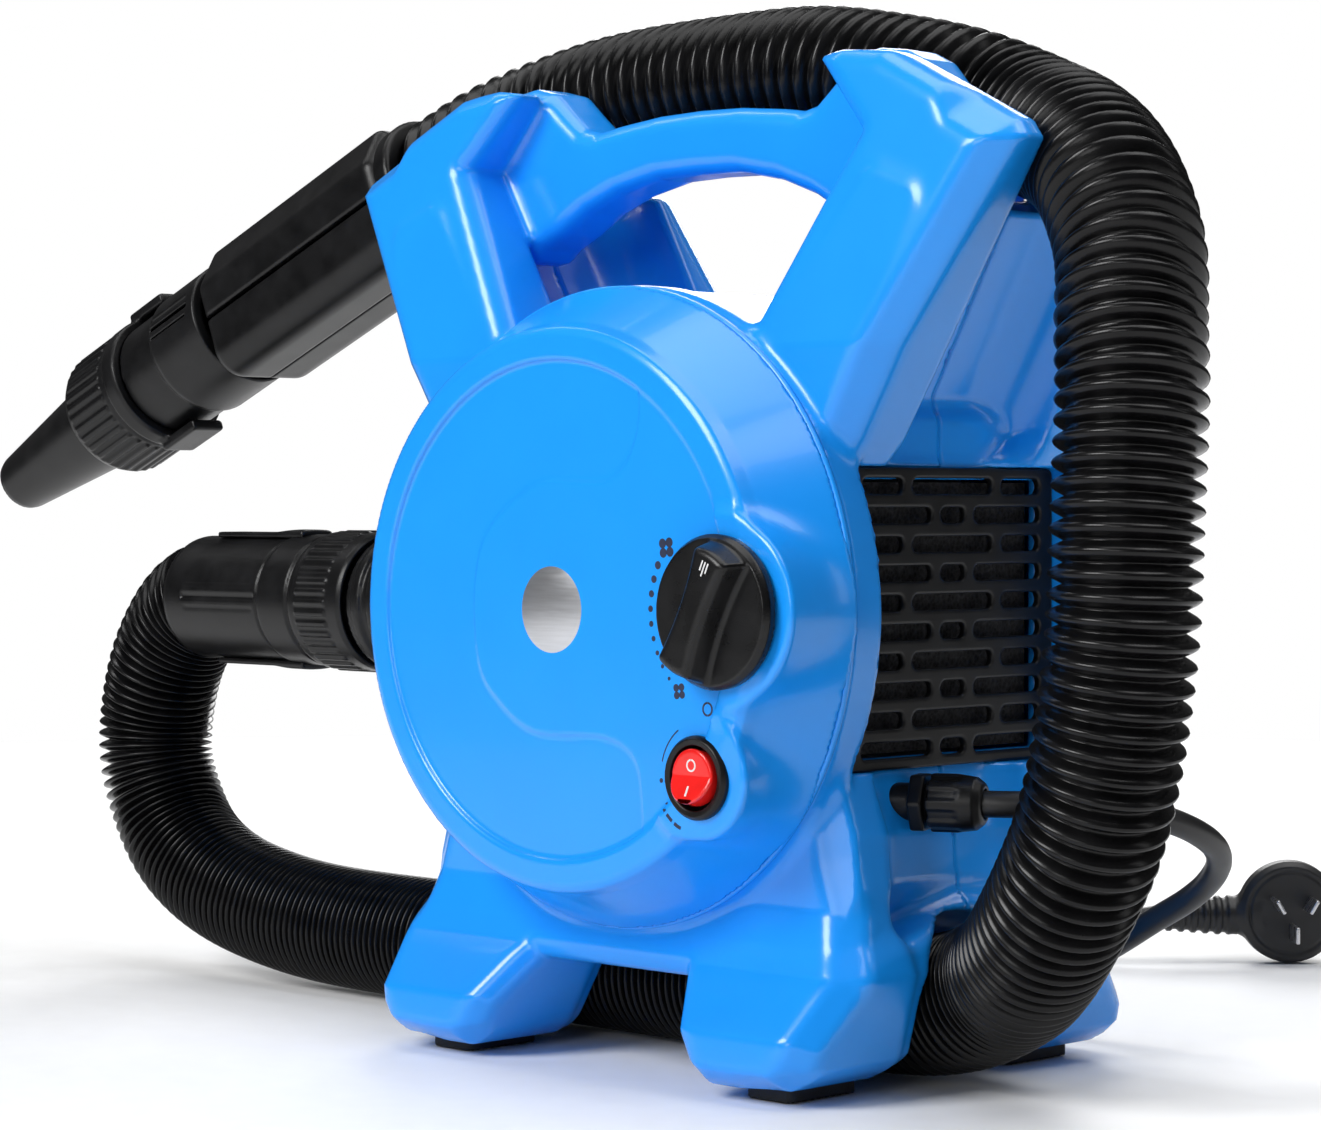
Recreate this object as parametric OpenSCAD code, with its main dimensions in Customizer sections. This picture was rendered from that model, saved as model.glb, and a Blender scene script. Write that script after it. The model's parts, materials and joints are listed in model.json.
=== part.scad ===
// Portable air mover: a moulded body on four feet with a carry handle, a blower motor that
// breathes through a side grille, and a corrugated hose that ends in a handpiece and nozzle.
// Millimetres. X right, Y back, Z up. The origin lies on the floor under the middle of the body.

/* [Body] */
// Height of the drum axis above the floor
drum_z = 160; // [158:1:164]
// Outer radius of the drum where it meets the body
drum_r = 110; // [108:1:112]
// Half depth of the body at the drum
core_y = 66; // [64:1:68]
// Moulded wall thickness
wall = 3; // [2.5:0.5:3.5]
// Thickness of the rubber feet
pad_t = 4; // [3:0.5:5]

/* [Front cover] */
// Y of the front cover's face
face_y = -97; // [-99:1:-95]
// Radius of the crisp edge round the face
face_r = 93; // [90:1:95]
// Radius of the badge
badge_r = 16.4; // [14:0.2:18]

/* [Controls] */
// X of the speed knob's axis
knob_x = 81; // [78:1:83]
// Radius of the speed knob's skirt
knob_r = 25.5; // [23:0.5:26.5]
// X of the heat switch
switch_x = 70.5; // [69:0.5:72]
// Height of the heat switch
switch_z = 107; // [105:1:108]
// Radius of the heat switch bezel
bezel_r = 13.8; // [13:0.2:14.6]

/* [Air path] */
// Height of the motor and outlet axis
air_z = 157; // [155:1:160]
// Y of the motor and outlet axis
air_y = -4; // [-6:1:-2]
// Outer radius of the hose
hose_r = 24; // [22:0.5:24]

/* [Handpiece] */
// Angle of the handpiece below level
hand_dip = 22.5; // [21:0.5:24]
// Radius of the nozzle's mouth
mouth_r = 9.5; // [8:0.5:10.5]

/* [Mains cord] */
// Radius of the mains cord
cord_r = 4.5; // [4:0.25:5]

/* [Hidden] */

$fn = 64;
blue = "deepskyblue";
fit = 0.05;

// Depth of the front face of the body by height, as [y, z]: toes reach forward, posts lean back.
side_profile = [[-80, pad_t], [-86, 12], [-85, 22], [-69, 41], [-62, 62], [-61, 200], [-64, 248],
    [-50, 326], [-40, 341], [-30, 349]];

// Front outline of the right half of the body, as [x, z], anticlockwise from the arch.
front_post = [[161, 312], [157, 319], [124, 338], [104, 345], [84, 348], [72, 345], [96, 318],
    [61, 258], [52, 252]];
rear_post = [[139, 290], [135, 299], [118, 311], [104, 314], [88, 312], [61, 262], [52, 252]];
foot_line = [[0, 38], [37, 38], [58, pad_t], [96, pad_t], [104, 14], [111, 41], [107, 52]];
flank_line = [[98, 80], [92, 110], [89, 140], [89, 182], [94, 205], [102, 216]];

// Web of the body between the front and rear flanges, as [x, z] on the right half.
web_line = [[0, 50], [84, 50], [97, 70], [96, 86], [89, 103], [89, 210], [75, 213],
    [111, 277], [119, 291], [111, 297], [100, 280], [70, 227], [60, 240], [0, 250]];

// Space between the front and rear flanges: half widths, where the rim of the drum starts, and
// where the bowl behind the drum starts.
drum_gap = 40;
rim_y = 52;
rim_z0 = 104;
bowl_y = 59;
post_gap = 36;
rear_gap = 42;
gap_step_z = 214;
waist_x = 89;
post_chamfer = 197;
arch_y0 = -30;
arch_y1 = 27;
arch_top = 30;
split_gap = 0.1;
shaft_r = 4;

// The carry handle's bar is an arc; its ends are roots that reach into the front posts.
handle_top = 334;
handle_r = 240;
handle_t = 22;
handle_y0 = -31;
handle_y1 = -3;

// Outlet tube that the hose's cuff slides over, and the cuff's end and radius.
outlet_r = 22.5;
cuff_x = -306;
cuff_r = 25.4;

// Route of the air hose, from the outlet cuff to the handpiece.
hose_route = [[-306, -4, 157], [-318, -4, 151], [-329, -4, 140], [-338, -4, 125], [-345, -3, 105],
    [-345, -3, 86], [-338, -2, 67], [-325, -2, 51], [-304, -2, 39], [-274, -2, 31], [-230, -2, 26],
    [-160, -2, 25], [-60, -2, 25], [30, -2, 25], [80, -3, 25], [106, -4, 29.3], [128, -9, 38.5],
    [146, -21, 48], [162, -31, 61], [177, -39, 77], [189, -44, 95], [198, -47, 120],
    [204, -48, 155], [205, -47, 190], [203, -42, 228], [198, -36, 251], [191, -27, 273],
    [178, -17, 291], [160, -4, 305], [140, 8, 315], [120, 18, 322], [102, 22.7, 329], [83, 22, 336],
    [55, 22, 343], [15, 22, 350], [-30, 22, 351], [-75, 22, 350], [-111, 21.5, 346], [-146, 14, 336],
    [-177, 10, 323]];

// Route of the mains cord from the gland down to the coil, and from the coil to the plug.
cord_route = [[104, -15, 96], [113, -11, 96], [122, -6, 96], [130, 1, 96], [136, 10, 96],
    [141, 21, 95], [146, 34, 93], [151, 48, 89], [152, 62, 84], [149, 76, 78], [142, 88, 71],
    [131, 97, 63], [118, 102, 55], [103, 104, 47], [88, 104, 38], [72, 104, 29], [55, 104, 20],
    [38, 104, 12], [22, 104, 7], [4, 104, 4.5], [-15, 104, 4.5]];
coil_at = [-50, 153];
coil_r = 50;
coil_w = 18;
coil_h = 27;
lead_route = [[-100, 170, 4.5], [-99, 187, 4.5], [-97, 205, 4.5], [-93, 224, 5], [-86, 244, 7],
    [-76, 263, 10], [-63, 281, 15], [-42, 301, 20]];
plug_at = [-4, 339, 22];
plug_r = 22;

// Handpiece: sides of the grip, and where the grip, the nut and the nozzle end along it.
grip_w = 57;
grip_d = 50;
grip_end = 133;
nut_z = 191;
nut_end = 236;
tip_z = 308;

// Place of the handpiece: local Z runs from the hose to the nozzle's mouth, local X points up.
hand_at = [-177, 10, 323];
module on_hand() translate(hand_at) rotate([0, -90 - hand_dip, 0]) children();

// Extrude an [x, z] outline along Y, and a [y, z] outline along X.
module along_y(y0, y1) translate([0, y1, 0]) rotate([90, 0, 0]) linear_extrude(y1 - y0) children();
module along_x(x0, x1) translate([x0, 0, 0]) rotate([90, 0, 90]) linear_extrude(x1 - x0) children();

// Round bars and tubes along X and Y.
module bar_x(x0, x1, r, y = air_y, z = air_z, r2 = -1)
    translate([x0, y, z]) rotate([0, 90, 0]) cylinder(h = x1 - x0, r1 = r, r2 = r2 < 0 ? r : r2);
module bar_y(y0, y1, r, x, z, r2 = -1)
    translate([x, y0, z]) rotate([-90, 0, 0]) cylinder(h = y1 - y0, r1 = r, r2 = r2 < 0 ? r : r2);
module tube_x(x0, x1, ro, ri, y = air_y, z = air_z) difference() {
    bar_x(x0, x1, ro, y, z);
    bar_x(x0 - 1, x1 + 1, ri, y, z);
}
module tube_z(z0, z1, ro, ri) translate([0, 0, z0]) difference() {
    cylinder(h = z1 - z0, r = ro);
    translate([0, 0, -1]) cylinder(h = z1 - z0 + 2, r = ri);
}
module box(lo, hi) translate(lo) cube(hi - lo);

// A tube swept along a smooth curve through route points, closed by a fan at each end.
function hermite(p, i, t) =
    let (a = p[max(i - 1, 0)], b = p[i], c = p[i + 1], d = p[min(i + 2, len(p) - 1)],
        m0 = (c - a) / 2, m1 = (d - b) / 2, t2 = t * t, t3 = t2 * t)
    (2 * t3 - 3 * t2 + 1) * b + (t3 - 2 * t2 + t) * m0 + (3 * t2 - 2 * t3) * c + (t3 - t2) * m1;
function sweep_path(p, n) =
    concat([for (i = [0:len(p) - 2], k = [0:n - 1]) hermite(p, i, k / n)], [p[len(p) - 1]]);
function unit(v) = v / norm(v);
function heading(c, i) = unit(c[min(i + 1, len(c) - 1)] - c[max(i - 1, 0)]);
function side_of(t, last) = unit(last - (last * t) * t);
function frames(c, i, last) =
    i == len(c) ? [] : let (s = side_of(heading(c, i), last)) concat([s], frames(c, i + 1, s));
function ring_points(c, s, r, sides) = [for (i = [0:len(c) - 1], k = [0:sides - 1])
    let (t = heading(c, i), u = cross(t, s[i]), a = 360 * k / sides)
    c[i] + r * (cos(a) * s[i] + sin(a) * u)];
function skin(rings, sides, from) = [for (i = [0:rings - 2], k = [0:sides - 1])
    let (k2 = (k + 1) % sides, p = from + i * sides)
    [p + k, p + sides + k, p + sides + k2, p + k2]];
function flipped(faces) = [for (f = faces) [f[3], f[2], f[1], f[0]]];

// A solid cord, and a hollow hose.
module swept(route, n, r, sides, first) {
    c = sweep_path(route, n);
    rings = len(c);
    start_cap = [for (k = [0:sides - 1]) k];
    end_cap = [for (k = [sides - 1:-1:0]) (rings - 1) * sides + k];
    polyhedron(points = ring_points(c, frames(c, 0, first), r, sides),
        faces = concat([start_cap], skin(rings, sides, 0), [end_cap]), convexity = 12);
}
module swept_pipe(route, n, ro, ri, sides, first) {
    c = sweep_path(route, n);
    s = frames(c, 0, first);
    rings = len(c);
    inner = rings * sides;
    last = inner - sides;
    start_cap = [for (k = [0:sides - 1]) let (k2 = (k + 1) % sides) [k, k2, inner + k2, inner + k]];
    end_cap = [for (k = [0:sides - 1]) let (k2 = (k + 1) % sides)
        [last + k2, last + k, inner + last + k, inner + last + k2]];
    polyhedron(points = concat(ring_points(c, s, ro, sides), ring_points(c, s, ri, sides)),
        faces = concat(start_cap, skin(rings, sides, 0), flipped(skin(rings, sides, inner)), end_cap),
        convexity = 12);
}

// ---- Body ----

function mirrored(p) = [for (q = p) [-q[0], q[1]]];
function reversed(p) = [for (i = [len(p) - 1:-1:0]) p[i]];
module body_outline(post) {
    half = concat(foot_line, flank_line, post, [[0, 250]]);
    polygon(half);
    mirror([1, 0]) polygon(half);
}
module web_outline() {
    polygon(web_line);
    mirror([1, 0]) polygon(web_line);
}
module depth_outline() {
    back = reversed(mirrored(side_profile));
    polygon(concat(side_profile, back));
}

// The outside of the body, before it is hollowed and split.
module drum_turn(profile)
    translate([0, 0, drum_z]) rotate([-90, 0, 0]) rotate_extrude() polygon(profile);
module flange_gap(z0, z1, front, rear) box([-200, -front, z0], [200, rear, z1]);
module body_solid() {
    difference() {
        intersection() {
            union() {
                along_y(-100, 0) body_outline(front_post);
                along_y(0, 100) body_outline(rear_post);
            }
            along_x(-170, 170) depth_outline();
        }
        flange_gap(50, gap_step_z, drum_gap, drum_gap);
        flange_gap(rim_z0, gap_step_z, rim_y, drum_gap);
        flange_gap(gap_step_z - 1, 400, post_gap, rear_gap);
        for (side = [-1, 1]) rotate([0, 0, side < 0 ? 225 : -45])
            box([post_chamfer * sqrt(0.5), -200, gap_step_z], [300, 200, 400]);
        box([waist_x, 0, 106], [200, bowl_y - 0.6, 209]);
        box([-200, arch_y0, -1], [200, arch_y1, arch_top]);
        bar_x(-200, 200, (arch_y1 - arch_y0) / 2, (arch_y0 + arch_y1) / 2, arch_top);
    }
    along_y(-drum_gap - 1, rear_gap + 1) web_outline();
    bar_y(-core_y, -rim_y, drum_r, 0, drum_z);
    drum_turn([[0, bowl_y], [drum_r, bowl_y], [drum_r, core_y], [95, core_y + 14],
        [0, core_y + 14]]);
    intersection() {
        bar_y(-rim_y - 1, bowl_y + 1, drum_r, 0, drum_z);
        box([-waist_x, -100, 0], [waist_x, 100, 300]);
    }
}

// The space inside the body: the drum, open to the front cover, and the hollow feet and posts.
module body_space() {
    inner_r = drum_r - wall - 1;
    bar_y(-core_y - 1, -rim_y - wall, inner_r, 0, drum_z);
    drum_turn([[0, bowl_y + wall], [inner_r, bowl_y + wall], [inner_r, core_y - 1],
        [92, core_y + 11], [0, core_y + 11]]);
    intersection() {
        bar_y(-rim_y - wall - 1, bowl_y + wall + 1, inner_r, 0, drum_z);
        box([-waist_x + wall + 1, -100, 0], [waist_x - wall - 1, 100, 300]);
    }
    for (side = [-1, 1]) limb_space(side);
    box([waist_x - 10, -43.5, 111], [waist_x + 20, 52.5, 204]);
    bar_x(-drum_r - 10, -60, 30);
    on_gland() translate([0, 0, -16]) cylinder(h = 40, r = 6.5);
}
module limb_space(side) {
    for (y = [[-56, -44], [44, 56]])
        along_y(y[0], y[1]) polygon([for (q = [[64, 10], [92, 10], [100, 40], [93, 72], [80, 98],
            [60, 84], [50, 72], [44, 54]]) [side * q[0], q[1]]]);
    post_front = [[66, 228], [113, 312], [139, 298], [96, 214], [80, 206]];
    post_rear = [[66, 228], [105, 298], [124, 287], [96, 214], [80, 206]];
    along_y(-53, -43.9) polygon([for (q = post_front) [side * q[0], q[1]]]);
    along_y(43.9, 53) polygon([for (q = post_rear) [side * q[0], q[1]]]);
}

module shell_half(front) {
    difference() {
        body_solid();
        body_space();
        if (front) {
            box([-200, -split_gap, -10], [200, 200, 400]);
            handle_roots();
        } else {
            box([-200, -200, -10], [200, split_gap, 400]);
            screw_holes();
        }
        pad_pockets();
    }
}
module front_shell() color(blue) shell_half(true);
module rear_shell() color(blue) shell_half(false);

module handle_roots() {
    for (side = [-1, 1])
        along_y(-39.9, handle_y1) polygon([for (q = [[50, 328], [58, 331], [72, 344], [82, 349],
            [100, 345], [113, 338], [106, 322], [92, 297.5], [82, 288], [70, 294], [60, 300]])
            [side * q[0], q[1]]]);
}
module carry_handle() color(blue) {
    handle_z = handle_top - handle_r;
    intersection() {
        difference() {
            bar_y(handle_y0, handle_y1, handle_r, 0, handle_z);
            bar_y(handle_y0 - 1, handle_y1 + 1, handle_r - handle_t, 0, handle_z);
        }
        box([-66, -100, 250], [66, 100, 400]);
    }
    handle_roots();
}

module front_cover() color(blue) {
    difference() {
        union() {
            translate([0, 0, drum_z]) rotate([90, 0, 0]) rotate_extrude($fn = 96) polygon([[0, core_y],
                [drum_r + 0.5, core_y], [face_r + 4.5, -face_y - 7], [face_r + 3, -face_y - 3],
                [face_r, -face_y], [face_r - 8, -face_y], [face_r - 10, -face_y - 1.5],
                [0, -face_y - 1.5]]);
            bar_y(face_y, -core_y, 30, knob_x, drum_z + 1);
            bar_y(face_y, -core_y, 20, switch_x, switch_z);
        }
        translate([0, 0, drum_z]) rotate([90, 0, 0]) rotate_extrude($fn = 96) polygon([[0, core_y - 1],
            [drum_r - wall, core_y - 1], [face_r, -face_y - 10], [face_r - 6, -face_y - 5],
            [0, -face_y - 5]]);
        bar_y(face_y + 4, -core_y + 1, 26.5, knob_x, drum_z + 1);
        bar_y(face_y + 4, -core_y + 1, 17, switch_x, switch_z);
        bar_y(face_y - 1, face_y + 12, 5.2, knob_x, drum_z + 1);
        bar_y(face_y - 1, face_y + 12, 11.8, switch_x, switch_z);
        difference() {
            bar_y(-core_y - 1.2, -core_y + 1, drum_r + 5, 0, drum_z);
            bar_y(-core_y - 2, -core_y + 2, drum_r - 1.2, 0, drum_z);
        }
    }
}

module badge() color("silver") difference() {
    translate([0, face_y + 1.5, drum_z]) rotate([90, 0, 0]) rotate_extrude() polygon([[0, 0],
        [badge_r, 0], [badge_r, 1], [badge_r - 1.2, 1.8], [0, 2.4]]);
}

// ---- Controls ----

module speed_knob() color("dimgray") difference() {
    union() {
        bar_y(face_y - 8.5, face_y - 1, knob_r - 1.5, knob_x, drum_z + 1, knob_r);
        translate([knob_x, face_y - 8, drum_z + 1]) rotate([90, 25, 0])
            linear_extrude(11.5) intersection() {
                circle(knob_r - 2);
                square([15, 60], center = true);
            }
    }
    bar_y(face_y - 14, face_y + 5, 3 + fit, knob_x, drum_z + 1);
}
module pot_shaft() color("silver") bar_y(face_y - 13.5, face_y + 16, 3, knob_x, drum_z + 1);
module potentiometer() color("gray") difference() {
    union() {
        bar_y(face_y + 6, face_y + 20, 12, knob_x, drum_z + 1);
        bar_y(face_y + 0.5, face_y + 7, 4.7, knob_x, drum_z + 1);
    }
    bar_y(face_y - 2, face_y + 17, 3 + fit, knob_x, drum_z + 1);
}
module switch_bezel() color("black") difference() {
    union() {
        bar_y(face_y - 3, face_y - 0.05, bezel_r - 1, switch_x, switch_z, bezel_r);
        bar_y(face_y - 0.1, face_y + 9, 11.7, switch_x, switch_z);
    }
    bar_y(face_y - 4, face_y + 10, 10.6, switch_x, switch_z);
}
rocker_y = face_y - 1;
rocker_tilt = 12;
rocker_r = 9.2;
module heat_rocker() color("red") translate([switch_x, rocker_y, switch_z])
    rotate([-rocker_tilt, 0, 0]) intersection() {
        bar_y(-8, 4, rocker_r, 0, 0);
        along_x(-12, 12) polygon([[-4.6, -12], [-4.6, -9], [-2.6, 0], [-4.6, 9], [-4.6, 12],
            [2.4, 12], [2.4, -12]]);
    }
module switch_body() color("black") difference() {
    bar_y(face_y + 9.05, face_y + 24, 11, switch_x, switch_z);
    bar_y(face_y + 8, face_y + 12, 9, switch_x, switch_z);
}

// ---- Air intake ----

grille_rows = 10;
grille_pitch = 9.8;
grille_front = 49;
grille_rear = 58;
grille_mid = 4.5;
module slot_outline(y, z, w) {
    translate([y, z]) square([w - 5.4, 5.4], center = true);
    for (e = [-1, 1]) translate([y + e * (w / 2 - 2.7), z]) circle(2.7, $fn = 24);
}
module side_grille() color("black") along_x(waist_x + 0.3, waist_x + 3.3) difference() {
    translate([-grille_front, 107]) square([grille_front + grille_rear, 101]);
    for (k = [0:grille_rows - 1]) {
        z = 113.5 + grille_pitch * k;
        if (k % 2 == 0) {
            slot_outline(grille_mid, z, 13);
            for (s = [-1, 1]) slot_outline(grille_mid + s * 28.9, z, 36);
        } else {
            slot_outline(grille_mid, z, 42);
            for (s = [-1, 1]) slot_outline(grille_mid + s * 35.9, z, 21);
        }
    }
}
module air_filter() color("dimgray") box([79.5, -43, 112], [84.5, 52, 203]);

// ---- Motor and blower ----

module fan_housing() color("gainsboro") difference() {
    bar_x(22, 58, 68, air_y, air_z);
    bar_x(25, 59, 65, air_y, air_z);
    bar_x(10, 30, 26, air_y, air_z);
}
module fan_cover() color("gainsboro") tube_x(58, 61, 68, 24);
module impeller() color("silver") {
    difference() {
        union() {
            bar_x(30, 33, 61);
            bar_x(30, 50, 12);
            difference() {
                union() for (k = [0:7]) translate([0, air_y, air_z]) rotate([k * 45, 0, 0])
                    box([32.9, 14, -1], [48, 60, 1]);
                bar_x(32, 49, 10);
            }
        }
        bar_x(20, 60, shaft_r - 0.01);
    }
}
module motor_frame() color("silver") difference() {
    bar_x(-44, 21.9, 44, air_y, air_z);
    bar_x(-40, 18, 41, air_y, air_z);
    bar_x(-60, 30, 11, air_y, air_z);
    for (a = [0:60:300]) translate([0, air_y, air_z]) rotate([a, 0, 0])
        box([-34, 20, -8], [12, 60, 8]);
}
module stator() color("saddlebrown") tube_x(-20, 14, 41, 25);
module rotor_core() color("peru") tube_x(-18, 12, 24.3, shaft_r);
module commutator() color("orange") tube_x(-36, -24, 12, shaft_r);
module motor_shaft() color("lightgray") bar_x(-50, 52, shaft_r);
module front_bearing() color("lightgray") tube_x(19, 27, 11, shaft_r + fit);
module rear_bearing() color("lightgray") tube_x(-45, -38, 11, shaft_r + fit);
module brush_holders() color("goldenrod") for (s = [-1, 1])
    translate([-30, air_y + s * 25, air_z]) cube([8, 25, 8], center = true);
module front_motor_mount() color("black") tube_x(46, 56, 76, 68);
module rear_motor_mount() color("black") tube_x(-44, -36, 52, 44);
module heater_frame() color("tan") difference() {
    tube_x(-84, -58, 29, 27);
    box([-90, -1, 0], [-89, 1, 1]);
}
module heater_coil() color("silver") for (k = [0:3])
    translate([-80 + 6 * k, air_y, air_z]) rotate([0, 90, 0]) rotate_extrude()
        translate([18, 0]) circle(1.6, $fn = 24);
module outlet_duct() color("gainsboro") difference() {
    bar_x(-58, -44.5, 29, air_y, air_z, 46);
    bar_x(-59, -44, 26, air_y, air_z, 43);
}
module control_board() color("green") box([4, -83.4, 96], [56, -81.8, 138]);
module heat_sink() color("silver") {
    box([14, -81.7, 104], [42, -79, 132]);
    for (k = [0:4]) box([15 + 6 * k, -79.1, 104], [16.6 + 6 * k, -72, 132]);
}
module terminal_block() color("white") box([44, -81.7, 97], [55, -73, 109]);

// ---- Outlet and hose ----

module outlet_flange() color("black") difference() {
    union() {
        bar_x(-waist_x - 5, -waist_x - 0.1, 32);
        bar_x(-112, -waist_x + 1, 27);
    }
    bar_x(-120, -80, outlet_r + fit);
}
module outlet_tube() color("black") {
    tube_x(-214, -92, outlet_r, outlet_r - 2.5);
    tube_x(-186, -166, 28.2, outlet_r - 0.1);
}
module outlet_seal() color("dimgray") tube_x(-200, -196, 25, outlet_r);
module outlet_collar() color("black") difference() {
    union() {
        bar_x(-222, -190, 27.4);
        for (a = [0:15:345]) translate([0, air_y, air_z]) rotate([a, 0, 0])
            box([-218, 27, -1.6], [-200, 28.2, 1.6]);
    }
    bar_x(-230, -180, cuff_r + 0.4);
}
module hose_cuff() color("black") difference() {
    union() {
        bar_x(cuff_x, -200, cuff_r);
        bar_x(-244, -224, cuff_r + 1);
    }
    bar_x(-215, -190, outlet_r + fit);
    bar_x(cuff_x + 1, -214, outlet_r - 2);
    bar_x(cuff_x - 1, -300, 20);
}
module cuff_latches() color("black") for (s = [-1, 1])
    translate([0, air_y, air_z]) rotate([s > 0 ? 0 : 180, 0, 0]) {
        box([-291, -8, cuff_r - 0.4], [-246, 8, cuff_r + 2]);
        box([-250, -8, cuff_r + 1.9], [-236, 8, cuff_r + 3.4]);
    }
module air_hose() color("black") swept_pipe(hose_route, 2, hose_r, hose_r - 2.5, 12, [0, 1, 0]);

// ---- Handpiece ----

module hand_cuff() color("black") on_hand() tube_z(0, 8, 27, 20);
module grip_outline() {
    square([grip_w, grip_d - 24], center = true);
    square([grip_w - 24, grip_d], center = true);
    for (x = [-1, 1], y = [-1, 1]) translate([x * (grip_w / 2 - 12), y * (grip_d / 2 - 12)]) circle(12);
}
module grip_half(s) on_hand() difference() {
    translate([0, 0, 8.05]) linear_extrude(grip_end - 8.05) grip_outline();
    translate([0, 0, 4]) cylinder(h = 150, r = 22);
    box([-60, s > 0 ? -60 : -0.1, 0], [60, s > 0 ? 0.1 : 60, 200]);
}
module grip_shell_left() color("black") grip_half(1);
module grip_shell_right() color("black") grip_half(-1);
module hand_barrel() color("black") on_hand() {
    tube_z(grip_end + 0.1, 166, 27.3, 22);
    tube_z(165.9, nut_z, 25, 22);
    tube_z(nut_z - 0.1, nut_z + 14, 22.8, 20.2);
}
module nozzle() color("black") on_hand() difference() {
    union() {
        translate([0, 0, nut_z + 2]) cylinder(h = nut_end - nut_z - 1.9, r = 20.1);
        translate([0, 0, nut_z + 15]) cylinder(h = 6, r = 24);
        translate([0, 0, nut_end]) cylinder(h = tip_z - nut_end, r1 = 20.1, r2 = 12.5);
    }
    translate([0, 0, nut_z]) cylinder(h = nut_end - nut_z + 2, r = 17.5);
    translate([0, 0, nut_end + 1.9]) cylinder(h = tip_z - nut_end - 13.9, r1 = 17.5, r2 = mouth_r);
    translate([0, 0, tip_z - 12]) cylinder(h = 20, r = mouth_r);
}
module nozzle_nut() color("black") on_hand() {
    difference() {
        union() {
            translate([0, 0, nut_z + 0.4]) cylinder(h = nut_end - nut_z - 4, r = 27.6);
            translate([0, 0, nut_z + 0.4]) cylinder(h = 9, r = 28.6);
            for (a = [0:15:345]) rotate([0, 0, a]) box([27, -1.6, nut_z + 12], [28.6, 1.6, nut_end - 8]);
        }
        translate([0, 0, nut_z - 1]) cylinder(h = 23, r = 24.4);
        translate([0, 0, nut_z + 20]) cylinder(h = 40, r = 20.6);
    }
    for (s = [-1, 1]) box([s > 0 ? 27 : -32, -8, nut_z - 18], [s > 0 ? 32 : -27, 8, nut_z + 6]);
}

// ---- Mains cord ----

module on_gland() translate([95, -19, 96]) rotate([0, 90, 25]) children();
module cord_gland() color("black") on_gland() difference() {
    union() {
        translate([0, 0, -14]) cylinder(h = 20, r = 6.4);
        translate([0, 0, 0]) cylinder(h = 5, r = 10.5, $fn = 6);
    }
    translate([0, 0, -15]) cylinder(h = 30, r = cord_r + 0.2);
}
module gland_nut() color("black") on_gland() difference() {
    union() {
        translate([0, 0, 6.1]) cylinder(h = 12, r = 9.8);
        translate([0, 0, 18]) cylinder(h = 7, r1 = 9.5, r2 = 6.5);
    }
    translate([0, 0, 5]) cylinder(h = 25, r = cord_r + 0.2);
}
module power_cord() color("black") swept(cord_route, 1, cord_r, 8, [0, 0, 1]);
module cord_coil() color("black") translate([coil_at[0], coil_at[1], 0]) rotate_extrude()
    translate([coil_r - coil_w / 2, 0.1]) square([coil_w, coil_h]);
module cord_lead() color("black") swept(lead_route, 1, cord_r, 8, [0, 0, 1]);
module cord_tie() color("dimgray") translate([coil_at[0], coil_at[1] , 0]) rotate([0, 0, 180])
    difference() {
        box([coil_r - coil_w / 2 - 1.5, -6, 0.1], [coil_r + coil_w / 2 + 1.5, 6, coil_h + 1.6]);
        box([coil_r - coil_w / 2, -7, -1], [coil_r + coil_w / 2, 7, coil_h + 0.1]);
    }
module on_plug() translate(plug_at) rotate([0, 0, 45]) children();
module plug_relief() color("black") on_plug() difference() {
    translate([-53.5, 0, -2]) rotate([0, 90, 0]) cylinder(h = 36, r1 = 6, r2 = 9);
    rotate([90, 0, 0]) cylinder(h = 40, r = plug_r, center = true);
}
module plug_body() color("black") on_plug() rotate([90, 0, 0]) translate([0, 0, -9])
    cylinder(h = 18, r = plug_r);
module plug_pins() color("silver") on_plug() {
    for (s = [-1, 1]) translate([s * 7, -17.5, 4]) rotate([0, s * 30, 0])
        cube([1.6, 17, 6.4], center = true);
    translate([0, -17.5, -8]) cube([1.6, 17, 7], center = true);
}

// ---- Feet and fasteners ----

module pads(margin) for (x = [-1, 1], y = [-1, 1])
    translate([x * 78, y * 56, pad_t / 2 + 0.5])
        cube([26 + margin, 42 + margin, pad_t + 1], center = true);
module pad_pockets() pads(0.2);
module rubber_feet() color("black") pads(0);
screw_at = [[-118, 290], [118, 290], [-82, 64], [82, 64]];
module screw_holes() for (p = screw_at) {
    bar_y(38, 90, 2, p[0], p[1]);
    bar_y(56, 90, 4.2, p[0], p[1]);
}
module shell_screws() color("silver") for (p = screw_at) bar_y(38, 56, 1.9, p[0], p[1]);

front_shell();
rear_shell();
carry_handle();
front_cover();
badge();
speed_knob();
potentiometer();
pot_shaft();
switch_bezel();
heat_rocker();
switch_body();
side_grille();
air_filter();
fan_housing();
fan_cover();
impeller();
motor_frame();
stator();
rotor_core();
commutator();
motor_shaft();
front_bearing();
rear_bearing();
brush_holders();
front_motor_mount();
rear_motor_mount();
heater_frame();
heater_coil();
outlet_duct();
control_board();
heat_sink();
terminal_block();
outlet_flange();
outlet_tube();
outlet_seal();
outlet_collar();
hose_cuff();
cuff_latches();
air_hose();
hand_cuff();
grip_shell_left();
grip_shell_right();
hand_barrel();
nozzle();
nozzle_nut();
cord_gland();
gland_nut();
power_cord();
cord_coil();
cord_lead();
cord_tie();
plug_relief();
plug_body();
plug_pins();
rubber_feet();
shell_screws();
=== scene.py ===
"""Looks of the portable air mover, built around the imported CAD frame.

Shells and moulded parts are signed distance fields, meshed by a surface net and pulled onto the
exact surface. Field functions work in millimetres, in the frame of the CAD model.
"""
import json
import math

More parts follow.
